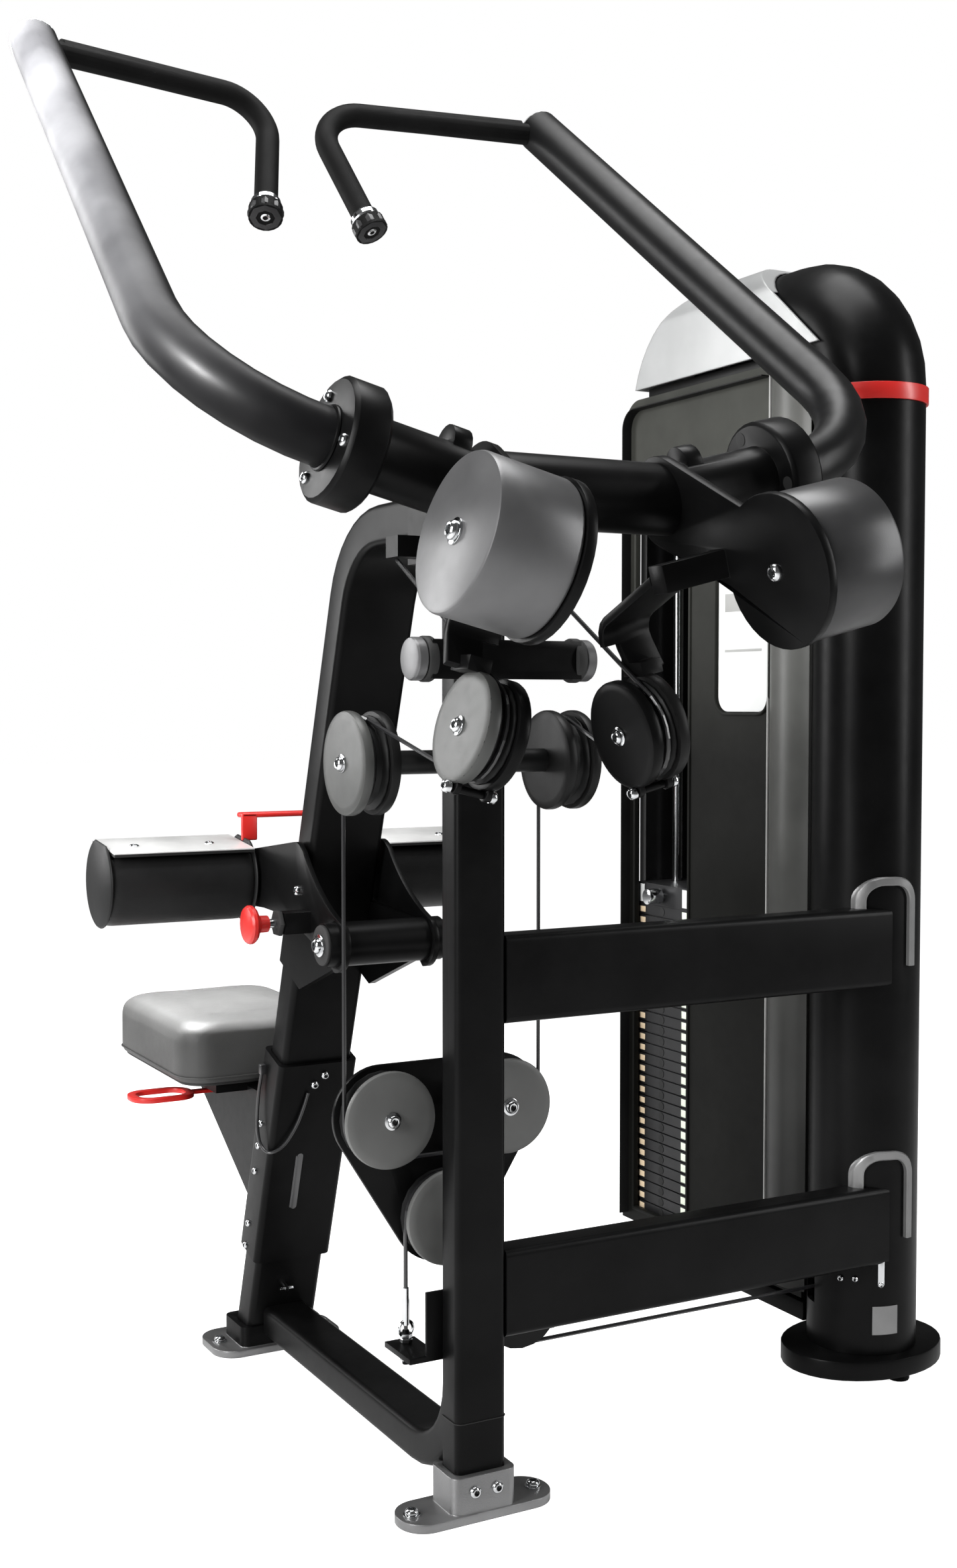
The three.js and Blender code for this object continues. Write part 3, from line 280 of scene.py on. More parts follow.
def paint_shade_towards_floor(material, low, high):
    """Darkens a finish towards the floor between two heights, as painted shade."""
    tree = material.node_tree
    shader = tree.nodes["Principled BSDF"]
    source = shader.inputs["Base Color"].links[0].from_socket
    place = add_node(tree, "ShaderNodeTexCoord")
    split = add_node(tree, "ShaderNodeSeparateXYZ")
    tree.links.new(place.outputs["Object"], split.inputs["Vector"])
    reach = add_node(tree, "ShaderNodeMapRange")
    for name, value in (("From Min", low), ("From Max", high), ("To Min", 0.12), ("To Max", 1.0)):
        reach.inputs[name].default_value = value
    tree.links.new(split.outputs["Z"], reach.inputs["Value"])
    shade = add_node(tree, "ShaderNodeVectorMath", operation="SCALE")
    tree.links.new(source, shade.inputs["Vector"])
    tree.links.new(reach.outputs["Result"], shade.inputs["Scale"])
    tree.links.new(shade.outputs["Vector"], shader.inputs["Base Color"])


FINISHES = (
    ("frame_paint", (0.0026, 0.0026, 0.0027), 0.34, {"grain": 0.05, "specular": 0.09}),
    ("weight_paint", (0.115, 0.115, 0.117), 0.40, {"metallic": 0.5, "grain": 0.06}),
    ("cast_foot", (0.25, 0.25, 0.252), 0.36, {"metallic": 0.8, "grain": 0.25, "scale": 420, "edge": 0.002}),
    ("bright_steel", (0.62, 0.63, 0.64), 0.14, {"metallic": 1.0, "grain": 0.01, "blotch": 0.04}),
    ("pulley_plastic", (0.009, 0.0092, 0.0093), 0.44, {"grain": 0.08, "edge": 0.001, "specular": 0.16}),
    ("shroud_plastic", (0.050, 0.051, 0.045), 0.5, {"grain": 0.12, "edge": 0.001, "specular": 0.08}),
    ("silver_plastic", (0.36, 0.365, 0.365), 0.34,
     {"metallic": 0.25, "coat": 0.3, "grain": 0.05, "blotch": 0.05, "edge": 0.004}),
    ("red_trim", (0.62, 0.018, 0.014), 0.36, {"coat": 0.2, "grain": 0.06, "blotch": 0.06, "edge": 0.001}),
    ("vinyl", (0.011, 0.011, 0.0112), 0.46, {"grain": 0.1, "cells": 420, "blotch": 0.1, "specular": 0.22}),
    ("grip_foam", (0.0035, 0.0035, 0.0035), 0.6, {"grain": 0.35, "scale": 1100, "specular": 0.07}),
    ("stack_iron", (0.014, 0.014, 0.015), 0.4, {"metallic": 0.3, "grain": 0.1, "edge": 0.001}),
    ("coated_cable", (0.014, 0.014, 0.015), 0.3, {"coat": 0.4, "grain": 0.05}),
)
FINISH = {name: surface(name, color, roughness, **more) for name, color, roughness, more in FINISHES}
ARM_PAINT = surface("arm_paint", (0.0040, 0.0040, 0.0042), 0.38, metallic=0.05, grain=0.05, specular=0.2)
SATIN_PAINT = surface("satin_paint", (0.0030, 0.0030, 0.0032), 0.42, grain=0.05, specular=0.08)
SADDLE_GREY = surface("saddle_grey", (0.20, 0.20, 0.20), 0.36, metallic=0.5, grain=0.06)
WARM_LABEL = surface("label_warm", (0.88, 0.70, 0.48), 0.5, grain=0.03, blotch=0.05)
PALE_LABEL = surface("label_pale", (0.84, 0.92, 0.76), 0.5, grain=0.03, blotch=0.05)
# Black for print and dark parts, and painted shade at the floors of bolt sockets.
DARK = surface("black_and_painted_recess_shade", (0.004, 0.004, 0.004), 0.6, grain=0.05)
# Painted light: the seat's vinyl is a lighter copy of the thigh pads' vinyl.
LIT_SEAT_VINYL = surface("seat_vinyl_painted_light", (0.046, 0.046, 0.045), 0.55, grain=0.1, cells=420, blotch=0.1)
BOARD = surface("pale_board", (0.80, 0.80, 0.79), 0.30, metallic=0.2, coat=0.3, grain=0.05, edge=0.001)
# Painted light: the satin grey of the wheel covers on the lit side.
LIT_COVER_GREY = surface("painted_light_cover", (0.050, 0.051, 0.049), 0.42, grain=0.08, specular=0.4)
BLOCK_GREY = surface("block_grey", (0.105, 0.106, 0.103), 0.42, grain=0.08)
# Painted shade: a darker copy of the weight paint, for the weight on the shaded right side.
SHADED_WEIGHT = surface("weight_painted_shade", (0.042, 0.042, 0.043), 0.36, metallic=0.5, grain=0.06)
BLACK_PLASTIC = surface("black_plastic", (0.006, 0.006, 0.006), 0.42, grain=0.08, specular=0.15)
WHITE = surface("blank_label_white", (0.78, 0.79, 0.78), 0.4, grain=0.03, blotch=0.03)
GREY_LABEL = surface("blank_label_grey", (0.42, 0.42, 0.41), 0.5, grain=0.03, blotch=0.05)
RUBBER = surface("rubber", (0.012, 0.012, 0.012), 0.7, grain=0.2, scale=500)
COWL = surface("cowl_grey", (0.105, 0.106, 0.100), 0.36, coat=0.1, grain=0.06, edge=0.001, specular=0.2)
STEEL = FINISH["bright_steel"]
# Painted shade: the shroud darkens below 1.6 m and the cowl below 1.3 m, towards the floor.
paint_shade_towards_floor(FINISH["shroud_plastic"], 1.0, 1.6)
paint_shade_towards_floor(COWL, 0.3, 1.3)


def paint_frame():
    for part in frame["record"]["subparts"]:
        mesh = NODES[part["node"]].data
        mesh.materials.clear()
        mesh.materials.append(FINISH[part["material_slot"]])
        for face in mesh.polygons:
            face.material_index = 0
        smooth(mesh)
        mesh.set_sharp_from_angle(angle=SHARP)


# ---- shapes


def basis(axis):
    """Two directions across an axis."""
    axis = axis.normalized()
    up = Z if abs(axis.z) < 0.9 else X
    first = up.cross(axis).normalized()
    return first, axis.cross(first).normalized()


def rod(radius, start, end):
    """Profile of a plain cylinder between two places on its axis."""
    return [(0, start), (radius, start), (radius, end), (0, end)]


class Piece:
    """One object under construction: closed shells, each with one of its finishes."""

    def __init__(self, name, body, slot, *finishes):
        self.name, self.body, self.slot = name, body, slot
        self.finishes = finishes or (FINISH[slot],)
        self.bm = bmesh.new()

    def skin(self, rings, finish, closed=False):
        """Joins rings of points with faces and closes both ends."""
        loops = [[self.bm.verts.new(point) for point in ring] for ring in rings]
        pairs = list(zip(loops, loops[1:]))
        if closed:
            pairs.append((loops[-1], loops[0]))
        made = []
        for low, high in pairs:
            count = len(low)
            for i in range(count):
                j = (i + 1) % count
                made.append(self.bm.faces.new((low[i], low[j], high[j], high[i])))
        if not closed:
            made.append(self.bm.faces.new(reversed(loops[0])))
            made.append(self.bm.faces.new(loops[-1]))
        for face in made:
            face.material_index = finish
        return self

    def lathe(self, profile, at, axis, finish=0, steps=40):
        """Turns (radius, along) pairs round an axis. The ends are flat and keep a small radius."""
        axis = Vector(axis).normalized()
        first, second = basis(axis)
        rings = []
        for radius, along in profile:
            ring = []
            for i in range(steps):
                turn = 2 * math.pi * i / steps
                out = first * math.cos(turn) + second * math.sin(turn)
                ring.append(Vector(at) + axis * along + out * max(radius, 0.0003))
            rings.append(ring)
        return self.skin(rings, finish)

    def disc(self, at, axis, radius, thick, finish=0, rim=0.004, steps=48):
        """A disc with rounded rims, from "at" along the axis."""
        profile = [(0, 0), (radius - rim, 0), (radius - rim * 0.3, rim * 0.3), (radius, rim)]
        profile += [(radius, thick - rim), (radius - rim * 0.3, thick - rim * 0.3)]
        profile += [(radius - rim, thick), (0, thick)]
        return self.lathe(profile, at, axis, finish, steps)

    def bolt(self, at, axis, radius, height=None, finish=0, recess=1):
        """A button head with a hex socket, standing on "at". A dark disc at the floor of the socket is
        painted shade.
        """
        height = height or radius * 0.7
        hole = radius * 0.48
        profile = [(0, -0.002), (radius * 0.96, -0.002), (radius, 0), (radius, height * 0.45)]
        profile += [(radius * 0.86, height * 0.8), (hole + radius * 0.16, height)]
        profile += [(hole, height * 0.97), (hole * 0.92, height * 0.25), (0, height * 0.25)]
        self.lathe(profile, at, axis, finish, 24)
        floor = Vector(at) + Vector(axis).normalized() * height * 0.25
        return self.lathe(rod(hole * 0.9, 0, 0.0004), floor, axis, recess, 6)

    def sweep(self, path, section, finish=0, up=None, closed=False):
        """Runs a section of (across, up) pairs along a path of points."""
        path = [Vector(point) for point in path]
        rings = []
        across = None
        for i, point in enumerate(path):
            before = path[i - 1] if i or closed else path[0]
            after = path[(i + 1) % len(path)] if i < len(path) - 1 or closed else path[-1]
            along = (after - before).normalized()
            if up:
                across = Vector(up).cross(along).normalized()
            elif across is None:
                across = basis(along)[0]
            else:
                across = (across - along * across.dot(along)).normalized()
            high = along.cross(across)
            rings.append([point + across * u + high * v for u, v in section])
        return self.skin(rings, finish, closed)

    def slab(self, low, high, edge=0.002, finish=0):
        """A block with rounded edges between two corners."""
        low, high = Vector(low), Vector(high)
        part = bmesh.new()
        bmesh.ops.create_cube(part, size=1)
        size = high - low
        for vert in part.verts:
            vert.co = (low + high) / 2 + Vector(a * b for a, b in zip(vert.co, size))
        bmesh.ops.bevel(part, geom=part.edges[:], offset=min(edge, min(size) * 0.45), segments=3,
                        profile=0.5, affect="EDGES")
        return self.add(part, finish)

    def plate(self, outline, normal, thick, origin=(0, 0, 0), across=None, edge=0.0015, finish=0):
        """A flat plate: an outline of (u, v) pairs raised along its normal, with rounded edges."""
        normal = Vector(normal).normalized()
        u = Vector(across).normalized() if across else basis(normal)[0]
        v = normal.cross(u)
        part = bmesh.new()
        base = [part.verts.new(Vector(origin) + u * a + v * b) for a, b in outline]
        top = [part.verts.new(vert.co + normal * thick) for vert in base]
        part.faces.new(reversed(base))
        lid = part.faces.new(top)
        for i in range(len(base)):
            j = (i + 1) % len(base)
            part.faces.new((base[i], base[j], top[j], top[i]))
        if edge:
            bmesh.ops.bevel(part, geom=lid.edges[:], offset=edge, segments=2, profile=0.5, affect="EDGES")
        return self.add(part, finish)

    def add(self, part, finish):
        for face in part.faces:
            face.material_index = finish
        mesh = bpy.data.meshes.new("part")
        part.to_mesh(mesh)
        part.free()
        self.bm.from_mesh(mesh)
        bpy.data.meshes.remove(mesh)
        return self

    def object(self):
        bmesh.ops.recalc_face_normals(self.bm, faces=self.bm.faces[:])
        mesh = bpy.data.meshes.new(self.name)
        self.bm.to_mesh(mesh)
        self.bm.free()
        for finish in self.finishes:
            mesh.materials.append(finish)
        smooth(mesh)
        mesh.set_sharp_from_angle(angle=SHARP)
        obj = bpy.data.objects.new(self.name, mesh)
        link(obj)
        return obj

    def done(self, *replaced):
        obj = self.object()
        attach(obj, self.body)
        if replaced:
            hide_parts(*replaced)
        return obj


def steel(name, body="frame"):
    """A piece of bright steel, with dark painted shade in its recesses."""
    return Piece(name, body, "bright_steel", STEEL, DARK)


def circle(radius, count):
    turns = [2 * math.pi * i / count for i in range(count)]
    return [(radius * math.cos(turn), radius * math.sin(turn)) for turn in turns]


def rounded_box(width, height, corner, steps=6):
    """Outline of a rectangle with round corners, as (u, v) pairs."""
    points = []
    for k, (sx, sy) in enumerate([(1, 1), (-1, 1), (-1, -1), (1, -1)]):
        for i in range(steps + 1):
            turn = math.pi / 2 * (k + i / steps)
            x = sx * (width / 2 - corner) + corner * math.cos(turn)
            y = sy * (height / 2 - corner) + corner * math.sin(turn)
            points.append((x, y))
    return points


def bent(corners, radius, steps=8):
    """Straight runs joined by round bends."""
    corners = [Vector(corner) for corner in corners]
    points = [corners[0]]
    for before, corner, after in zip(corners, corners[1:], corners[2:]):
        into, out = (corner - before).normalized(), (after - corner).normalized()
        angle = into.angle(out)
        reach = radius * math.tan(angle / 2)
        axis = into.cross(out).normalized()
        arm = into.cross(axis) * radius
        centre = corner - into * reach - arm
        for i in range(steps + 1):
            points.append(centre + Matrix.Rotation(angle * i / steps, 3, axis) @ arm)
    points.append(corners[-1])
    return points


def in_steps(path, length):
    """The path with its straight runs cut into steps of about one length."""
    dense = []
    for a, b in zip(path, path[1:]):
        steps = max(1, int((b - a).length / length))
        dense += [a.lerp(b, i / steps) for i in range(steps)]
    return [*dense, path[-1]]


def node_copy(node, name):
    """A loose copy of a CAD node under its own name."""
    obj = NODES[node].copy()
    obj.data = NODES[node].data.copy()
    obj.parent = None
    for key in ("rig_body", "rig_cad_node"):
        if key in obj:
            del obj[key]
    obj.name = name
    link(obj)
    return obj


def finished(node, width=0.0):
    """A copy of a CAD node, welded and smooth, with its sharp edges rounded. It stands for the node."""
    obj = node_copy(node, f"{node}_finished")
    bm = bmesh.new()
    bm.from_mesh(obj.data)
    bmesh.ops.remove_doubles(bm, verts=bm.verts[:], dist=1e-5)
    if width:
        bmesh.ops.dissolve_limit(bm, angle_limit=math.radians(1), verts=bm.verts[:], edges=bm.edges[:])
        sharp = [e for e in bm.edges if len(e.link_faces) == 2 and e.calc_face_angle(0) > math.radians(38)]
        bmesh.ops.bevel(bm, geom=sharp, offset=width, segments=2, profile=0.5, affect="EDGES",
                        clamp_overlap=True)
    bm.to_mesh(obj.data)
    bm.free()
    for name in ("custom_normal", "sharp_edge"):
        if name in obj.data.attributes:
            obj.data.attributes.remove(obj.data.attributes[name])
    smooth(obj.data)
    obj.data.set_sharp_from_angle(angle=math.radians(34))
    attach(obj, NODES[node]["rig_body"])
    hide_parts(node)
    return obj


# ---- cables


def cable_copy(node, ends=None):
    """The cable run as a round cable. "ends" holds two bodies and a point on each; only whether it is given
    is used: then the cable stays in place unparented, else it goes on the frame.
    """
    obj = node_copy(node, node.replace("cable", "cable_run"))
    smooth(obj.data)
    if ends:
        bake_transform(obj)
    else:
        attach(obj, "frame")
    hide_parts(node)


def add_cables():
    for side in SIDES:
        wheel = middle(f"{side}_arm_wheel")
        start = Vector((wheel.x, 0.0, wheel.z))
        end = Vector((wheel.x, wheel.y + 0.062, wheel.z))
        cable_copy(f"{side}_arm_cable", ("frame", f"{side}_arm", start, end))
    block = middle("left_block_wheel")
    guide = middle("left_guide_wheel")
    low = middle("low_block_wheel")
    column = middle("column_wheel")
    back = middle("back_top_wheel")
    ends = (0, block.y, guide.z - 0.01), (0, block.y, block.z + 0.01)
    cable_copy("block_cable", ("frame", "floating_block", *ends))
    ends = (0, low.y, column.z + 0.01), (0, low.y, low.z - 0.005)
    cable_copy("lift_cable", ("frame", "floating_block", *ends))
    cable_copy("tower_cable")
    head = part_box("stack_head")[1].z
    ends = (back.x, 0.54, head + 0.005), (back.x, 0.54, back.z - 0.01)
    cable_copy("stack_cable", ("stack_head", "frame", *ends))


def add_anchor_fitting():
    """Eye bolt, swaged end and nuts where the lift cable is tied down."""
    low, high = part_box("lift_cable")
    x, y = low.x + 0.003, (low.y + high.y) / 2
    fitting = steel("anchor_fitting")
    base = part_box("cable_anchor")[0].z
    fitting.lathe([(0, 0), (0.0048, 0), (0.0048, 0.034), (0.0042, 0.038), (0.0042, 0.052), (0, 0.052)],
                  (x, y, base + 0.055), Z, 0, 20)
    nut = [(0, 0), (0.0082, 0), (0.009, 0.001), (0.009, 0.0055), (0.0082, 0.0065), (0, 0.0065)]
    for rise in (0.006, 0.0305, 0.0375):
        fitting.lathe(nut, (x, y, base + rise), Z, 0, 6)
    ring = [Vector((x + 0.0105 * math.cos(t), y, base + 0.050 + 0.0105 * math.sin(t)))
            for t in np.linspace(0, 2 * math.pi, 24, endpoint=False)]
    fitting.sweep(ring, circle(0.0026, 10), 0, closed=True)
    fitting.done()


# ---- frame details


def add_floor_bolts(piece, foot, y):
    """A washer and a bolt in each end of a foot plate."""
    low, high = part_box(foot)
    for x in (low.x + 0.021, high.x - 0.021):
        piece.disc((x, y, low.z + 0.0118), Z, 0.012, 0.002, 0, rim=0.0006)
        piece.bolt((x, y, low.z + 0.0138), Z, 0.0095)
    piece.done()


def add_frame_details():
    """Bolts of the two feet and the dark edge of the column's sleeve."""
    bolts = steel("front_foot_bolts")
    front, top = -0.036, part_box("front_foot")[1].z
    for x in (-0.017, 0.017):
        bolts.bolt((x, front - 0.0003, top - 0.021), -Y, 0.0085)
    add_floor_bolts(bolts, "front_foot", 0)
    add_floor_bolts(steel("rear_foot_bolts"), "rear_foot", middle("rear_foot").y)
    seam = Piece("leg_sleeve_edge", "frame", "frame_paint", DARK)
    ring = [Vector((x, y, 0.131)) for x, y in rounded_box(0.0768, 0.0508, 0.0104)]
    seam.sweep(ring, rounded_box(0.0022, 0.0012, 0.0004, 2), 0, up=Z, closed=True)
    seam.done()


def add_bumper_ends():
    """Rubber rings and end caps on the short bar in front of the column."""
    low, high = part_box("bumper_bar")
    y, z = low.y + 0.026, middle("bumper_bar").z
    ring = [(0.0245, 0), (0.0285, 0.001), (0.0295, 0.003), (0.0295, 0.012), (0.0285, 0.014), (0.0245, 0.015)]
    cap = [(0.0265, 0), (0.0278, 0.0012), (0.0278, 0.012), (0.0262, 0.0145), (0.0235, 0.0152), (0, 0.0155)]
    for side, sign in SIDES.items():
        inner = (low.x if sign < 0 else high.x) - sign * 0.028
        piece = Piece(f"{side}_bumper_end", "frame", "pulley_plastic", RUBBER, FINISH["weight_paint"])
        piece.lathe(ring, (inner - sign * 0.002, y, z), X * sign, 0)
        piece.lathe(cap, (inner + sign * 0.0135, y, z), X * sign, 1)
        piece.done()


def add_saddle(name, rail, rise):
    """The bent flat bar that ties the end of a rail to the tower leg."""
    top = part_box(rail)[1].z
    flat = [(0.667, top - 0.004), (0.667, top + rise), (0.747, top + rise), (0.747, top + rise - 0.131)]
    path = in_steps(bent([(x, 0, z) for x, z in flat], 0.030, 8), 0.006)
    section = [(-0.0065, 0.001), (-0.0065, -0.006), (-0.0045, -0.008)]
    section += [(-u, depth) for u, depth in section[::-1]]
    rings = []
    for i, point in enumerate(path):
        ahead = path[min(i + 1, len(path) - 1)] - path[max(i - 1, 0)]
        across = Vector((ahead.z, 0, -ahead.x)).normalized()
        ring = []
        for u, depth in section:
            spot = point + across * u
            away = max(-1, min(1, (spot.x - LEG.x) / LEG_RADIUS))
            skin = LEG.y - LEG_RADIUS * math.sqrt(max(0, 1 - away * away))
            ring.append(Vector((spot.x, skin + depth, spot.z)))
        rings.append(ring)
    piece = Piece(f"{name}_saddle", "frame", "silver_plastic", SADDLE_GREY)
    piece.skin(rings, 0)
    piece.done()


def add_tower_label():
    """Blank label that follows the round front of the tower leg."""
    label = Piece("tower_label", "frame", "silver_plastic", SADDLE_GREY)
    turns = [math.radians(t) for t in np.linspace(-119, -91, 9)]
    front, back = ([LEG + Vector((reach * math.cos(t), reach * math.sin(t), 0)) for t in turns]
                   for reach in (0.0862, 0.0852))
    ring = front + back[::-1]
    label.skin([[point + Z * z for point in ring] for z in (0.128, 0.172)], 0)
    label.done()


def add_tower_details():
    """Saddles and label on the tower leg, and the fixings of the wheel in its base."""
    add_saddle("upper", "upper_rail", 0.042)
    add_saddle("lower", "lower_rail", 0.050)
    add_tower_label()
    base = steel("base_wheel_fixings")
    for x, z in ((0.655, 0.212), (0.668, 0.214), (0.700, 0.206)):
        away = (x - LEG.x) / LEG_RADIUS
        out = Vector((away, -math.sqrt(1 - away * away), 0))
        base.bolt(LEG + Z * z + out * 0.0845, out, 0.0050, 0.005)
    out = Vector((-0.35, -0.9367, 0))
    clip = LEG + Z * 0.226 + out * 0.0846
    base.plate(rounded_box(0.010, 0.046, 0.003), out, 0.003, clip, out.cross(Z), 0.001, 0)
    base.done()


def add_cowl(face, start, end, bottom, top):
    """Rounded cowl up the edge of the shroud, and the light bead beside it."""
    cowl = Piece("shroud_cowl", "frame", "shroud_plastic", COWL)
    section = []
    for t in np.linspace(0, 1, 11):
        y = start + (end - start) * t
        section.append((face - 0.001 - 0.016 * math.sin(math.pi * t) ** 0.7, y))
    section += [(face - 0.0002, end), (face - 0.0002, start)]
    cowl.skin([[Vector((x, y, z)) for x, y in section] for z in np.linspace(bottom, top, 3)], 0)
    cowl.done()
    bead = Piece("shroud_bead", "frame", "silver_plastic", GREY_LABEL)
    bead.slab((face - 0.0045, end + 0.0005, bottom), (face - 0.0002, end + 0.0035, top), 0.001)
    bead.done()


def add_placard_card(face):
    """Raised frame round the placard, and a card in it with bars in place of words."""
    low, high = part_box("placard")
    centre = (low + high) / 2
    wide, tall = high.y - low.y, high.z - low.z
    trim = Piece("placard_frame", "frame", "shroud_plastic")
    outline = rounded_box(wide + 0.008, tall + 0.008, 0.030)
    ring = [Vector((face - 0.0012, centre.y + u, centre.z + v)) for u, v in outline]
    trim.sweep(ring, rounded_box(0.004, 0.006, 0.0015, 2), 0, up=X, closed=True)
    trim.done()
    card = Piece("placard_card", "frame", "silver_plastic", WHITE, GREY_LABEL, DARK)
    at = (face + 0.0022, centre.y, centre.z)
    card.plate(rounded_box(wide - 0.002, tall - 0.002, 0.026), -X, 0.0008, at, Y, 0)
    bars = ((0.128, 0.020, 2), (0.100, 0.012, 2), (0.040, 0.004, 1), (0.000, 0.030, 1), (-0.080, 0.004, 1))
    for rise, height, ink in bars:
        z = centre.z + rise
        card.slab((face + 0.0010, centre.y - 0.050, z - height / 2),
                  (face + 0.0015, centre.y + 0.050, z + height / 2), 0.0002, ink)
    card.done()


def add_slot_edge(face):
    """Edging of the slot that the stack is seen through."""
    slot = Piece("slot_edge", "frame", "shroud_plastic")
    for y in (0.438, 0.608):
        slot.slab((face - 0.003, y - 0.003, 0.176), (face + 0.008, y + 0.003, 1.474), 0.0012)
    for z in (1.476, 0.175):
        slot.slab((face - 0.003, 0.436, z - 0.003), (face + 0.008, 0.610, z + 0.003), 0.0012)
    slot.done()


def add_shroud_details():
    """Cowl, card, slot edging and black border on the face of the shroud by the stack."""
    low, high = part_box("inner_shroud")
    face, start, end = low.x, 0.1135, 0.214
    bottom, top = low.z + 0.012, high.z - 0.012
    add_cowl(face, start, end, bottom, top)
    add_placard_card(face)
    add_slot_edge(face)
    border = Piece("shroud_border", "frame", "shroud_plastic", BLACK_PLASTIC)
    wide = 0.036
    back, roof = high.y - wide / 2 - 0.0008, high.z - wide / 2 - 0.0008
    corner = bent([(back, 0, bottom), (back, 0, roof), (end + 0.004, 0, roof)], 0.034, 10)
    path = [Vector((face - 0.0010, point.x, point.z)) for point in corner]
    border.sweep(path, rounded_box(0.0022, wide, 0.0008, 2), 0, up=X)
    border.slab((face + 0.0005, start + 0.012, high.z - 0.004),
                (face + 0.0045, high.y - 0.075, high.z + 0.0135), 0.001)
    border.done()


def add_stack_details():
    """Blank strips and pin holes on the plates that stay down, and blank strips on the head."""
    low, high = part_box("lower_stack")
    strips = Piece("stack_labels", "frame", "silver_plastic", WARM_LABEL, PALE_LABEL)
    holes = Piece("stack_pin_holes", "frame", "stack_iron", DARK)
    count = round((high.z - low.z) / STACK_PITCH)
    pitch = (high.z - low.z) / count
    face, back = low.x - 0.0008, low.x + 0.0004
    hole = [(0.0058, 0), (0.0074, 0.0006), (0.0074, 0.0012), (0, 0.0012)]
    for i in range(count):
        z = low.z + (i + 0.5) * pitch
        strips.slab((face, high.y - 0.029, z - 0.0050), (back, high.y - 0.012, z + 0.0050), 0.0003, 0)
        strips.slab((face, low.y + 0.006, z - 0.0062), (back, low.y + 0.020, z + 0.0062), 0.0003, 1)
        holes.lathe(hole, (back, (low.y + high.y) / 2, z), -X, 0, 16)
    strips.done()
    holes.done()
    head = Piece("head_labels", "stack_head", "silver_plastic", WHITE)
    for y in (high.y - 0.0185, low.y + 0.0130):
        head.slab((face, y - 0.007, high.z + 0.004), (back, y + 0.007, high.z + 0.036), 0.0003, 0)
    head.done()


def add_cover_screw():
    screw = steel("cover_screw")
    screw.bolt((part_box("top_cover")[0].x - 0.0002, 0.262, 1.700), -X, 0.0065, 0.004)
    screw.done()


def add_pivot_tube_ends():
    """Rubber cap, washer and bolt on each end of the tube that the thigh pads turn on."""
    piece = Piece("pivot_tube_ends", "frame", "bright_steel", STEEL, DARK, RUBBER)
    for sign in SIDES.values():
        out = X * sign
        at = Vector((sign * 0.094, 0.290, 0.745))
        piece.disc(at - out * 0.001, out, 0.030, 0.006, 2, rim=0.002)
        piece.disc(at + out * 0.005, out, 0.017, 0.003, 0, rim=0.001)
        piece.bolt(at + out * 0.008, out, 0.0115)
    piece.done()


# ---- pulleys


def add_disc_cover(piece, at, axis, radius, thick=0.0145, finish=0):
    """A shallow dished cover over a guard disc."""
    profile = [(0, 0), (radius - 0.004, 0), (radius - 0.001, 0.001), (radius, 0.004), (radius, thick - 0.004),
               (radius - 0.0012, thick - 0.0012), (radius - 0.004, thick), (radius - 0.012, thick + 0.0004),
               (0.020, thick + 0.0016), (0, thick + 0.0016)]
    piece.lathe(profile, at, axis, finish, 56)


def add_cap_bolt(piece, at, out):
    """Washer and bolt in the middle of a cover, in the piece's second and third finish."""
    piece.disc(at, out, 0.0125, 0.002, 1, rim=0.0008)
    piece.bolt(at + out * 0.002, out, 0.0092, 0.0065, 1, 2)


def painted_light_cover(side):
    """The covers that face the light are painted a satin grey as painted light, and the others black as
    painted shade.
    """
    return LIT_COVER_GREY if side == "left" else BLACK_PLASTIC


def add_guide_covers():
    """Cover discs on the fixed guide wheels, with a chrome bolt on each outer face."""
    for side, sign in SIDES.items():
        centre = middle(f"{side}_guide_wheel")
        piece = Piece(f"{side}_guide_covers", "frame", "pulley_plastic", painted_light_cover(side), STEEL, DARK,
                      BLACK_PLASTIC)
        for face in (-1, 1):
            # Painted shade: the inner cover of each guide wheel takes the black finish.
            finish = 0 if face == sign else 3
            add_disc_cover(piece, centre + X * face * COVER_START, X * face, COVER_RADIUS, finish=finish)
        add_cap_bolt(piece, centre + X * sign * (COVER_START + 0.0161), X * sign)
        piece.done()


def arm_frame(side):
    """From a lever arm's own frame to the machine's, and the way outwards along its axis."""
    joint = JOINTS[f"{side}_arm_turn"]
    axis = joint["axis"]
    tilt = math.atan2(abs(axis[2]), abs(axis[0]))
    sign = SIDES[side]
    mirror = Matrix.Diagonal((sign, 1, 1, 1))
    place = Matrix.Translation(joint["pos_m"]) @ Matrix.Rotation(-sign * tilt, 4, "Y") @ mirror
    return place, (place.to_3x3() @ X).normalized()


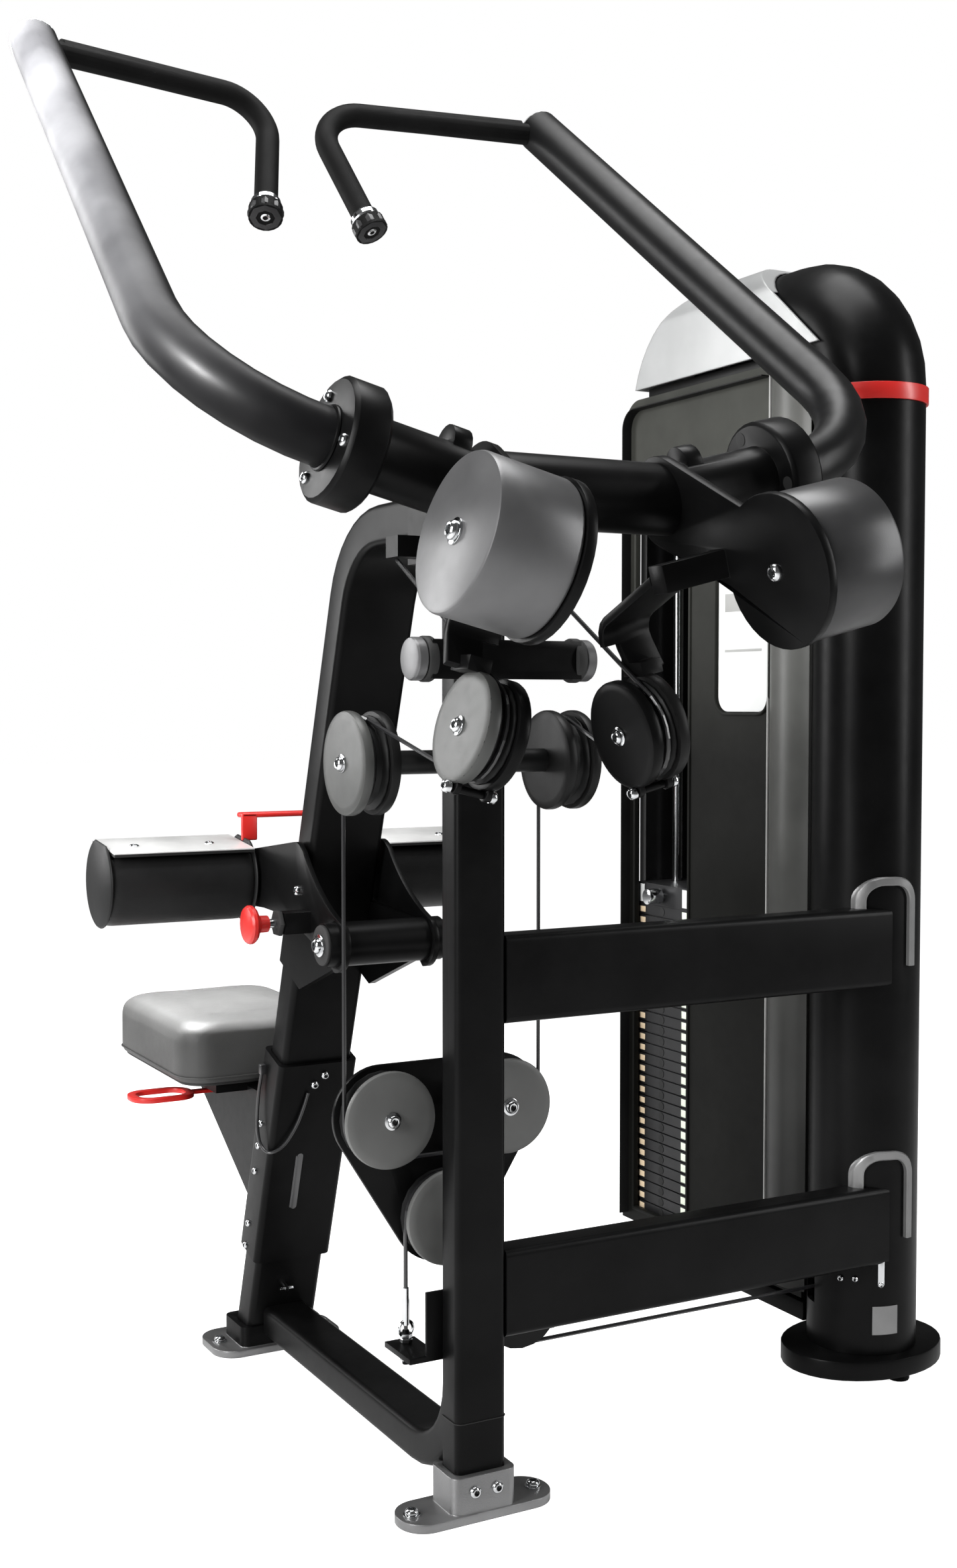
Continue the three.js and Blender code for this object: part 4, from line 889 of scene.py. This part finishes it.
def add_arm_wheel_covers(side):
    """Covers and bolts of the wheel that swings under an arm, and the bar with two tabs below it."""
    place, out = arm_frame(side)
    piece = Piece(f"{side}_arm_wheel_covers", f"{side}_arm", "pulley_plastic", painted_light_cover(side), STEEL,
                  DARK, FINISH["frame_paint"])
    for face in (-1, 1):
        at = place @ (ARM_WHEEL + Vector((face * COVER_START, 0.004, 0)))
        # Painted shade: the inner cover takes the black frame paint.
        add_disc_cover(piece, at, out * face, COVER_RADIUS, 0.0170, 0 if face == 1 else 3)
        add_cap_bolt(piece, at + out * face * 0.0186, out * face)
    for face in (-1, 1):
        at = place @ (ARM_WHEEL + Vector((face * 0.030, 0, -0.0735)))
        piece.bolt(at, out * face, 0.0080, 0.007, 1, 2)
    piece.lathe(rod(0.005, -0.030, 0.030), place @ (ARM_WHEEL - Z * 0.0735), out, 3, 16)
    ring = [(0.0105, -0.004), (0.0115, -0.003), (0.0115, 0.003), (0.0105, 0.004)]
    for face in (-1, 1):
        tab = place @ (ARM_WHEEL + Vector((face * 0.0215, 0, -0.066)))
        piece.lathe(ring, tab - Z * 0.004, out, 3, 20)
    piece.done()


def add_block_covers():
    """Cover discs and bolts on the three wheels of the floating block."""
    piece = Piece("block_covers", "floating_block", "pulley_plastic", BLOCK_GREY, STEEL, DARK)
    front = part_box("floating_block")[0].y
    for wheel in ("left_block_wheel", "right_block_wheel", "low_block_wheel"):
        centre = middle(wheel)
        face = Vector((centre.x, front + 0.0095, centre.z))
        add_disc_cover(piece, face, -Y, 0.0672, 0.0112)
        add_cap_bolt(piece, face - Y * 0.0128, -Y)
    piece.done()


# ---- lever arms


def add_weight(side):
    """The round counterweight, with rolled rims and a bolt at each end."""
    place, out = arm_frame(side)
    start = place @ Vector((-0.0067, -0.200, -0.100))
    # Painted shade: the right weight takes the darker copy of the weight paint.
    face = FINISH["weight_paint"] if side == "left" else SHADED_WEIGHT
    piece = Piece(f"{side}_weight", f"{side}_arm", "weight_paint", face, STEEL, DARK)
    piece.disc(start, out, WEIGHT_RADIUS, WEIGHT_LENGTH, 0, rim=0.005, steps=72)
    end = start + out * WEIGHT_LENGTH
    piece.disc(end - out * 0.0005, out, 0.0150, 0.0028, 1, rim=0.001)
    piece.bolt(end + out * 0.0022, out, 0.0110, 0.0075, 1, 2)
    piece.done(f"{side}_counterweight")
    lever = steel(f"{side}_lever_bolt", f"{side}_arm")
    lever.bolt(place @ Vector((-0.0190, -0.200, -0.100)), -out, 0.0110, 0.0075)
    lever.done()


def add_collar_details(side):
    """Screws in the two faces of the collar that clamps the arm, and the weld round its tube."""
    place, out = arm_frame(side)
    piece = steel(f"{side}_collar_screws", f"{side}_arm")
    for degrees in (70, 190, 310):
        angle = math.radians(degrees)
        spot = Vector((0, math.cos(angle), math.sin(angle)))
        inner = place @ (Vector((0.1350, 0, 0)) + spot * 0.0585)
        outer = place @ (Vector((0.1830, 0, 0)) + spot * 0.0550)
        piece.lathe(rod(0.0088, 0, 0.0005), inner, -out, 1, 20)
        piece.bolt(outer, out, 0.0075, 0.005)
    piece.done()
    weld = Piece(f"{side}_collar_weld", f"{side}_arm", "frame_paint")
    ring = [place @ Vector((0.1845, 0.0360 * math.cos(t), 0.0360 * math.sin(t)))
            for t in np.linspace(0, 2 * math.pi, 48, endpoint=False)]
    weld.sweep(ring, circle(0.0028, 8), 0, up=out, closed=True)
    weld.done()


def handle_path(side):
    """Centreline of the handle from just inside the arm's tip to its end."""
    place, _ = arm_frame(side)
    start = ARM_TIP - (ARM_TIP - ARM_CORNER).normalized() * 0.012
    points = bent([start, (0.066, 0.890, 0.722), (0.067, 0.766, 0.4965)], 0.062, 14)
    return [place @ Vector(point) for point in points]


def add_grip(side):
    """Foam sleeve with a chrome collar and a faceted end cap."""
    points = handle_path(side)
    end, along = points[-1], (points[-1] - points[-2]).normalized()
    points[-1] = end - along * 0.034
    points[0] = points[0] + (points[1] - points[0]).normalized() * 0.040
    foam = Piece(f"{side}_grip", f"{side}_arm", "grip_foam")
    foam.sweep(in_steps(points, 0.012), circle(0.0188, 24), 0)
    grip = foam.done()
    trim = Piece(f"{side}_grip_end", f"{side}_arm", "bright_steel", STEEL, FINISH["stack_iron"], DARK)
    collar = [(0.0180, 0), (0.0215, 0.001), (0.0235, 0.004), (0.0235, 0.010), (0.0215, 0.013),
              (0.0180, 0.014)]
    cap = [(0.0200, 0), (0.0265, 0.003), (0.0285, 0.009), (0.0285, 0.018), (0.0250, 0.0225),
           (0.0150, 0.0235), (0.0135, 0.0205), (0, 0.0205)]
    trim.lathe(collar, end - along * 0.036, along, 0, 32)
    trim.lathe(cap, end - along * 0.0225, along, 1, 8)
    trim.bolt(end - along * 0.0022, along, 0.0085, 0.003, 0, 2)
    trim.done()


def add_arm_end(side):
    """Domed cap on the tip of the arm."""
    place, _ = arm_frame(side)
    along = place.to_3x3() @ (ARM_TIP - ARM_CORNER).normalized()
    piece = Piece(f"{side}_arm_end", f"{side}_arm", "silver_plastic")
    dome = [(0, -0.0005), (0.0342, -0.0005), (0.0352, 0.0010), (0.0345, 0.0028), (0.0315, 0.0042),
            (0.018, 0.0052), (0, 0.0055)]
    piece.lathe(dome, place @ ARM_TIP, along, 0, 40)
    piece.done()


def finish_arm(side):
    finished(f"{side}_hub", 0.0025)
    finished(f"{side}_swing_bar", 0.0018)
    finished(f"{side}_arm_tube").data.materials[0] = SATIN_PAINT if side == "left" else ARM_PAINT
    finished(f"{side}_handle")
    for wheel in ("arm", "guide", "block"):
        finished(f"{side}_{wheel}_wheel")


# ---- upholstery


def coordinates(mesh):
    flat = np.empty(len(mesh.vertices) * 3)
    mesh.vertices.foreach_get("co", flat)
    return flat.reshape(-1, 3)


def apply_modifiers(obj):
    graph = bpy.context.evaluated_depsgraph_get()
    mesh = bpy.data.meshes.new_from_object(obj.evaluated_get(graph))
    obj.modifiers.clear()
    obj.data = mesh


def inflate(obj, cap, share):
    """Lets cloth under pressure fill a closed form out, by its share of the cap at most."""
    remesh = obj.modifiers.new("remesh", "REMESH")
    remesh.mode = "VOXEL"
    remesh.voxel_size = VOXEL
    apply_modifiers(obj)
    rest = coordinates(obj.data)
    cloth = obj.modifiers.new("cloth", "CLOTH")
    cloth.settings.use_pressure = True
    cloth.settings.uniform_pressure_force = 4
    cloth.settings.effector_weights.gravity = 0
    cloth.settings.tension_stiffness = cloth.settings.compression_stiffness = 25
    cloth.settings.bending_stiffness = 2
    cloth.point_cache.frame_start = 1
    cloth.point_cache.frame_end = CLOTH_FRAMES
    for step in range(1, CLOTH_FRAMES + 1):
        bpy.context.scene.frame_set(step)
    graph = bpy.context.evaluated_depsgraph_get()
    swollen = coordinates(obj.evaluated_get(graph).data)
    obj.modifiers.clear()
    bpy.context.scene.frame_set(1)
    normals = np.empty(rest.size)
    obj.data.vertex_normals.foreach_get("vector", normals)
    normals = normals.reshape(-1, 3)
    outward = np.clip(((swollen - rest) * normals).sum(axis=1), 0, cap)
    outward = evened(obj.data, outward) * share(rest)
    obj.data.vertices.foreach_set("co", (rest + normals * outward[:, None]).ravel())
    obj.data.update()


def evened(mesh, values):
    """Each vertex's value averaged with its neighbours', so that the cover is taut, without puckers."""
    edges = np.empty(len(mesh.edges) * 2, dtype=int)
    mesh.edges.foreach_get("vertices", edges)
    first, second = edges.reshape(-1, 2).T
    count = np.bincount(edges, minlength=len(values))
    for _ in range(EVEN_ROUNDS):
        total = np.bincount(first, values[second], len(values))
        total += np.bincount(second, values[first], len(values))
        values = (values + total / count) / 2
    return values


def relax(obj):
    even = obj.modifiers.new("smooth", "SMOOTH")
    even.iterations = SMOOTH_ROUNDS
    even.factor = 0.5
    refine = obj.modifiers.new("refine", "SUBSURF")
    refine.levels = 1
    apply_modifiers(obj)
    smooth(obj.data)


def upholstered(piece, replaced, cap, share):
    """Fills a closed form out, smooths it and lets it stand for a CAD node."""
    obj = piece.object()
    inflate(obj, cap, share)
    relax(obj)
    obj.data.materials.clear()
    obj.data.materials.append(piece.finishes[0])
    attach(obj, piece.body)
    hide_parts(replaced)


def level_ring(centre, outline, z, scale=1):
    return [Vector((centre.x + u * scale, centre.y + v * scale, z)) for u, v in outline]


def add_seat():
    """Seat cushion with rolled upper edges and a seam, on a thin base board."""
    low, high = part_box("seat_pad")
    centre = (low + high) / 2
    inset = 0.005
    width, depth = high.x - low.x - 2 * inset, high.y - low.y - 2 * inset
    piece = Piece("seat_cushion", "seat", "vinyl", LIT_SEAT_VINYL)
    levels = [(low.z + 0.005, 0.006), (low.z + 0.009, 0.001), (low.z + 0.020, 0), (high.z - 0.034, 0),
              (high.z - 0.020, 0.003), (high.z - 0.012, 0.010), (high.z - 0.007, 0.022)]
    rings = []
    for z, shrink in levels:
        outline = rounded_box(width - 2 * shrink, depth - 2 * shrink, 0.052 - shrink * 0.4, 8)
        rings.append(level_ring(centre, outline, z))
    piece.skin(rings, 0)
    floor = low.z + 0.012
    upholstered(piece, "seat_pad", 0.008, lambda rest: np.clip((rest[:, 2] - floor) / 0.02, 0, 1))
    board = Piece("seat_board", "seat", "pulley_plastic", RUBBER)
    outline = rounded_box(width - 0.016, depth - 0.016, 0.046, 8)
    levels = ((0.0006, 0.985), (0.003, 1.0), (0.006, 1.0))
    rings = [level_ring(centre, outline, low.z + rise, scale) for rise, scale in levels]
    board.skin(rings, 0)
    board.done()
    seam = Piece("seat_seam", "seat", "vinyl", LIT_SEAT_VINYL)
    ring = level_ring(centre, rounded_box(width + 0.001, depth + 0.001, 0.052, 10), low.z + 0.016)
    seam.sweep(ring, circle(0.0014, 8), 0, up=Z, closed=True)
    seam.done()


def flattened_circle(up, back, reach, chord):
    """A circle round the axis of a thigh pad, cut flat at the chord's height."""
    turns = [2 * math.pi * i / 64 for i in range(64)]
    return [back * reach * math.cos(t) + up * min(reach * math.sin(t), chord) for t in turns]


def add_thigh_board(side, centre, inner, length, up, back):
    """Dark backing, pale board and two screws on the flat of a thigh pad."""
    sign = SIDES[side]
    board = Piece(f"{side}_thigh_board", "thigh_pads", "silver_plastic", BOARD, DARK, STEEL)
    start = centre + X * (inner + sign * 0.007) + up * 0.0535
    wide = length - 0.014
    face = [(0, -0.062), (wide, -0.062), (wide, 0.058), (0, 0.058)]
    if sign < 0:
        face = [(a, -b) for a, b in face]
    board.plate(face, up, 0.0045, start, X * sign, 0.0008, 1)
    inset = [(a, b * 0.985) for a, b in face]
    board.plate(inset, up, 0.0025, start + up * 0.0043, X * sign, 0.0010, 0)
    for share in (0.27, 0.78):
        at = centre + X * (inner + sign * length * share) - back * 0.012 + up * 0.0602
        board.bolt(at, up, 0.0075, 0.003, 2, 1)
    board.done()


def add_thigh_pad(side):
    """Round vinyl roll, flattened under a light board that tips a little towards the column."""
    node = f"{side}_thigh_pad"
    low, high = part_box(node)
    sign = SIDES[side]
    radius = (high.y - low.y) / 2
    centre = Vector((0, (low.y + high.y) / 2, low.z + radius))
    inner = low.x if sign > 0 else high.x
    length = high.x - low.x
    tip = math.radians(7)
    up, back = Vector((0, -math.sin(tip), math.cos(tip))), Vector((0, math.cos(tip), math.sin(tip)))

    piece = Piece(f"{side}_thigh_roll", "thigh_pads", "vinyl")
    rings = []
    for along, scale in ((0.004, 0.93), (0.007, 0.97), (0.013, 0.995), (0.020, 1.0), (length - 0.020, 1.0),
                         (length - 0.013, 0.995), (length - 0.007, 0.97), (length - 0.004, 0.93)):
        x = inner + sign * along
        outline = flattened_circle(up, back, radius - 0.004, 0.050)
        rings.append([centre + X * x + point * scale for point in outline])
    piece.skin(rings, 0)
    roof = centre.z + 0.030
    upholstered(piece, node, 0.003, lambda rest: np.clip((roof - rest[:, 2]) / 0.02, 0, 1))
    ends = Piece(f"{side}_thigh_ends", "thigh_pads", "pulley_plastic")
    for along in (0.0005, length - 0.0055):
        rings = []
        for depth, shrink in ((0, 0.003), (0.001, 0.001), (0.0025, 0), (0.004, 0.001), (0.005, 0.003)):
            x = inner + sign * (along + depth)
            outline = flattened_circle(up, back, radius - 0.0004 - shrink, 0.0660 - shrink)
            rings.append([centre + X * x + point for point in outline])
        ends.skin(rings, 0)
    ends.done()
    add_thigh_board(side, centre, inner, length, up, back)


def add_thigh_strap():
    """Red strap over the middle, broad legs in front and a flat bar across."""
    low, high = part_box("thigh_handle")
    piece = Piece("thigh_strap", "thigh_pads", "red_trim")
    top = high.z - 0.006
    piece.slab((low.x - 0.012, low.y + 0.0002, top - 0.0085), (high.x + 0.012, high.y - 0.0002, top), 0.0034)
    for x in (low.x - 0.012, high.x - 0.015):
        piece.slab((x, low.y + 0.0002, low.z + 0.010), (x + 0.027, low.y + 0.0070, top - 0.0008), 0.0024)
    piece.done("thigh_handle")


# ---- seat column details


def carriage_frame():
    """Foot of the carriage, the way up the column and the way out of its front face."""
    lean = Vector(JOINTS["seat_slide"]["axis"])
    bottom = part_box("seat_carriage")[0].z + 0.014
    slope = lean.y / lean.z
    foot = Vector((0, COLUMN_Y_AT_FLOOR + slope * bottom, bottom))
    return foot, lean, Vector((0, -lean.z, lean.y))


def add_carriage_details():
    """Bolts and slot of the sliding carriage, and its release cable."""
    foot, lean, ahead = carriage_frame()
    piece = steel("carriage_bolts", "seat")
    for along in (0.006, 0.049, 0.150, 0.198, 0.240):
        at = foot + lean * along - ahead * 0.008
        piece.bolt(at - X * 0.0678, -X, 0.0062, 0.0048)
    at = foot + lean * 0.334 + ahead * 0.0372
    for x in (-0.004, 0.012):
        piece.bolt(at + X * x + lean * x, ahead, 0.0070, 0.0055)
    piece.done()
    slot = Piece("carriage_slot", "seat", "frame_paint", FINISH["weight_paint"])
    at = foot + lean * 0.150 + ahead * 0.0366 - X * 0.012
    slot.plate(rounded_box(0.010, 0.105, 0.005), ahead, 0.0012, at, -X, 0.0002, 0)
    slot.plate(rounded_box(0.0025, 0.098, 0.001), ahead, 0.0020, at - X * 0.0062, -X, 0.0002, 0)
    slot.done()
    route = [(0.330, -0.020, -0.0735), (0.290, -0.018, -0.0750), (0.245, -0.006, -0.0765),
             (0.218, 0.016, -0.0765), (0.212, 0.038, -0.0680), (0.226, 0.0440, -0.0480),
             (0.258, 0.0430, -0.0300), (0.292, 0.0415, -0.0200), (0.318, 0.0405, -0.0150)]
    points = [foot + lean * a + ahead * b + X * c for a, b, c in route]
    cable = Piece("release_cable", "seat", "coated_cable")
    cable.sweep(through(points, 6), circle(0.0027, 10), 0)
    clamp = points[0]
    cable.slab(clamp - Vector((0.004, 0.006, 0.004)), clamp + Vector((0.008, 0.006, 0.012)), 0.0015)
    cable.done()


def through(points, steps):
    """A smooth curve through points."""
    padded = [points[0] * 2 - points[1], *points, points[-1] * 2 - points[-2]]
    made = []
    for a, b, c, d in zip(padded, padded[1:], padded[2:], padded[3:]):
        for i in range(steps):
            t = i / steps
            made.append(0.5 * (2 * b + (c - a) * t + (2 * a - 5 * b + 4 * c - d) * t * t
                               + (3 * b - a - 3 * c + d) * t * t * t))
    return [*made, points[-1]]


def add_column_pin():
    """Small chrome pin that stops the carriage, low on the front of the seat column."""
    z = 0.128
    ahead = Vector((0, -0.948, -0.318)).normalized()
    at = Vector((-0.006, COLUMN_Y_AT_FLOOR + COLUMN_SLOPE * z, z)) + ahead * 0.029
    piece = steel("column_stop_pin")
    piece.lathe([(0.0042, -0.001), (0.0042, 0.014), (0.0036, 0.016), (0, 0.016)], at, ahead, 0, 16)
    bar = [(0.0030, -0.012), (0.0036, -0.010), (0.0036, 0.010), (0.0030, 0.012)]
    piece.lathe(bar, at + ahead * 0.012, X, 0, 14)
    piece.done()


def add_pull_pin_details():
    """Housing of the sprung pin, and its red knob on a steel rod."""
    low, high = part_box("pull_pin")
    centre = (low + high) / 2
    housing = Piece("pull_pin_housing", "thigh_pads", "pulley_plastic", RUBBER)
    sleeve = [(0.0092, 0), (0.0200, 0.0005), (0.0212, 0.002), (0.0212, 0.006), (0.0198, 0.008),
              (0.0092, 0.0085)]
    housing.lathe(sleeve, (-0.1185, centre.y, centre.z), -X, 0, 6)
    housing.done()
    knob = Piece("pull_pin_knob", "pull_pin", "red_trim", FINISH["red_trim"], STEEL)
    profile = [(0, 0), (0.020, 0.0004), (0.0265, 0.0025), (0.0292, 0.006), (0.0292, 0.011), (0.0255, 0.0155),
               (0.0175, 0.019), (0.0130, 0.023), (0.0125, 0.036), (0.0090, 0.038), (0, 0.0382)]
    knob.lathe(profile, (low.x - 0.006, centre.y, centre.z), X, 0, 18)
    shank = [(0, 0), (0.0069, 0), (0.0069, 0.072), (0.006, 0.0725), (0, 0.0725)]
    knob.lathe(shank, (low.x + 0.0305, centre.y, centre.z), X, 1, 20)
    knob.done("pull_pin")


def add_thigh_bracket_bolts():
    piece = steel("thigh_bracket_bolts", "thigh_pads")
    for sign in SIDES.values():
        piece.bolt((sign * 0.0762, 0.430, 0.812), X * sign, 0.0075, 0.0055)
    piece.done()


# ---- the whole machine


def paint_socket(foot):
    """The socket of the rear foot is black, and only its plate is bare metal."""
    foot.data.materials.append(FINISH["frame_paint"])
    for face in foot.data.polygons:
        if face.center.z > 0.0135:
            face.material_index = 1


EDGES = {
    "tower_base": 0.003,
    "cable_anchor": 0.001,
    "front_foot": 0.003,
    "rear_foot": 0.003,
    "stack_base": 0.002,
    "rear_post": 0.002,
    "seat_lever": 0.0015,
    "stack_head": 0.0,
    "selector_pin": 0.001,
    "top_cover": 0.0,
    "tower_arch": 0.0,
    "tower_band": 0.001,
    "main_column": 0.0,
    "seat_column": 0.0,
    "cross_tube": 0.0,
    "bumper_bar": 0.001,
    "upper_rail": 0.0,
    "lower_rail": 0.0,
    "pulley_bar": 0.0,
    "floating_block": 0.0015,
    "thigh_bracket": 0.0015,
    "seat_carriage": 0.0,
    "low_block_wheel": 0.0,
    "column_wheel": 0.0,
    "base_wheel": 0.0,
    "front_guide_rod": 0.0,
    "back_guide_rod": 0.0,
}


def finish_frame():
    """Welds and smooths the CAD pieces, and rounds the edges of those that have none of their own."""
    for node, width in EDGES.items():
        copy = finished(node, width)
        if node == "rear_foot":
            paint_socket(copy)


add_camera()
paint_frame()
add_cables()
add_floor()
add_world()
finish_frame()
add_anchor_fitting()
add_frame_details()
add_bumper_ends()
add_tower_details()
add_shroud_details()
add_stack_details()
add_cover_screw()
add_pivot_tube_ends()
add_guide_covers()
add_block_covers()
for side in SIDES:
    finish_arm(side)
    add_weight(side)
    add_arm_wheel_covers(side)
    add_collar_details(side)
    add_grip(side)
    add_arm_end(side)
    add_thigh_pad(side)
add_seat()
add_thigh_strap()
add_carriage_details()
add_column_pin()
add_pull_pin_details()
add_thigh_bracket_bolts()
add_lights()
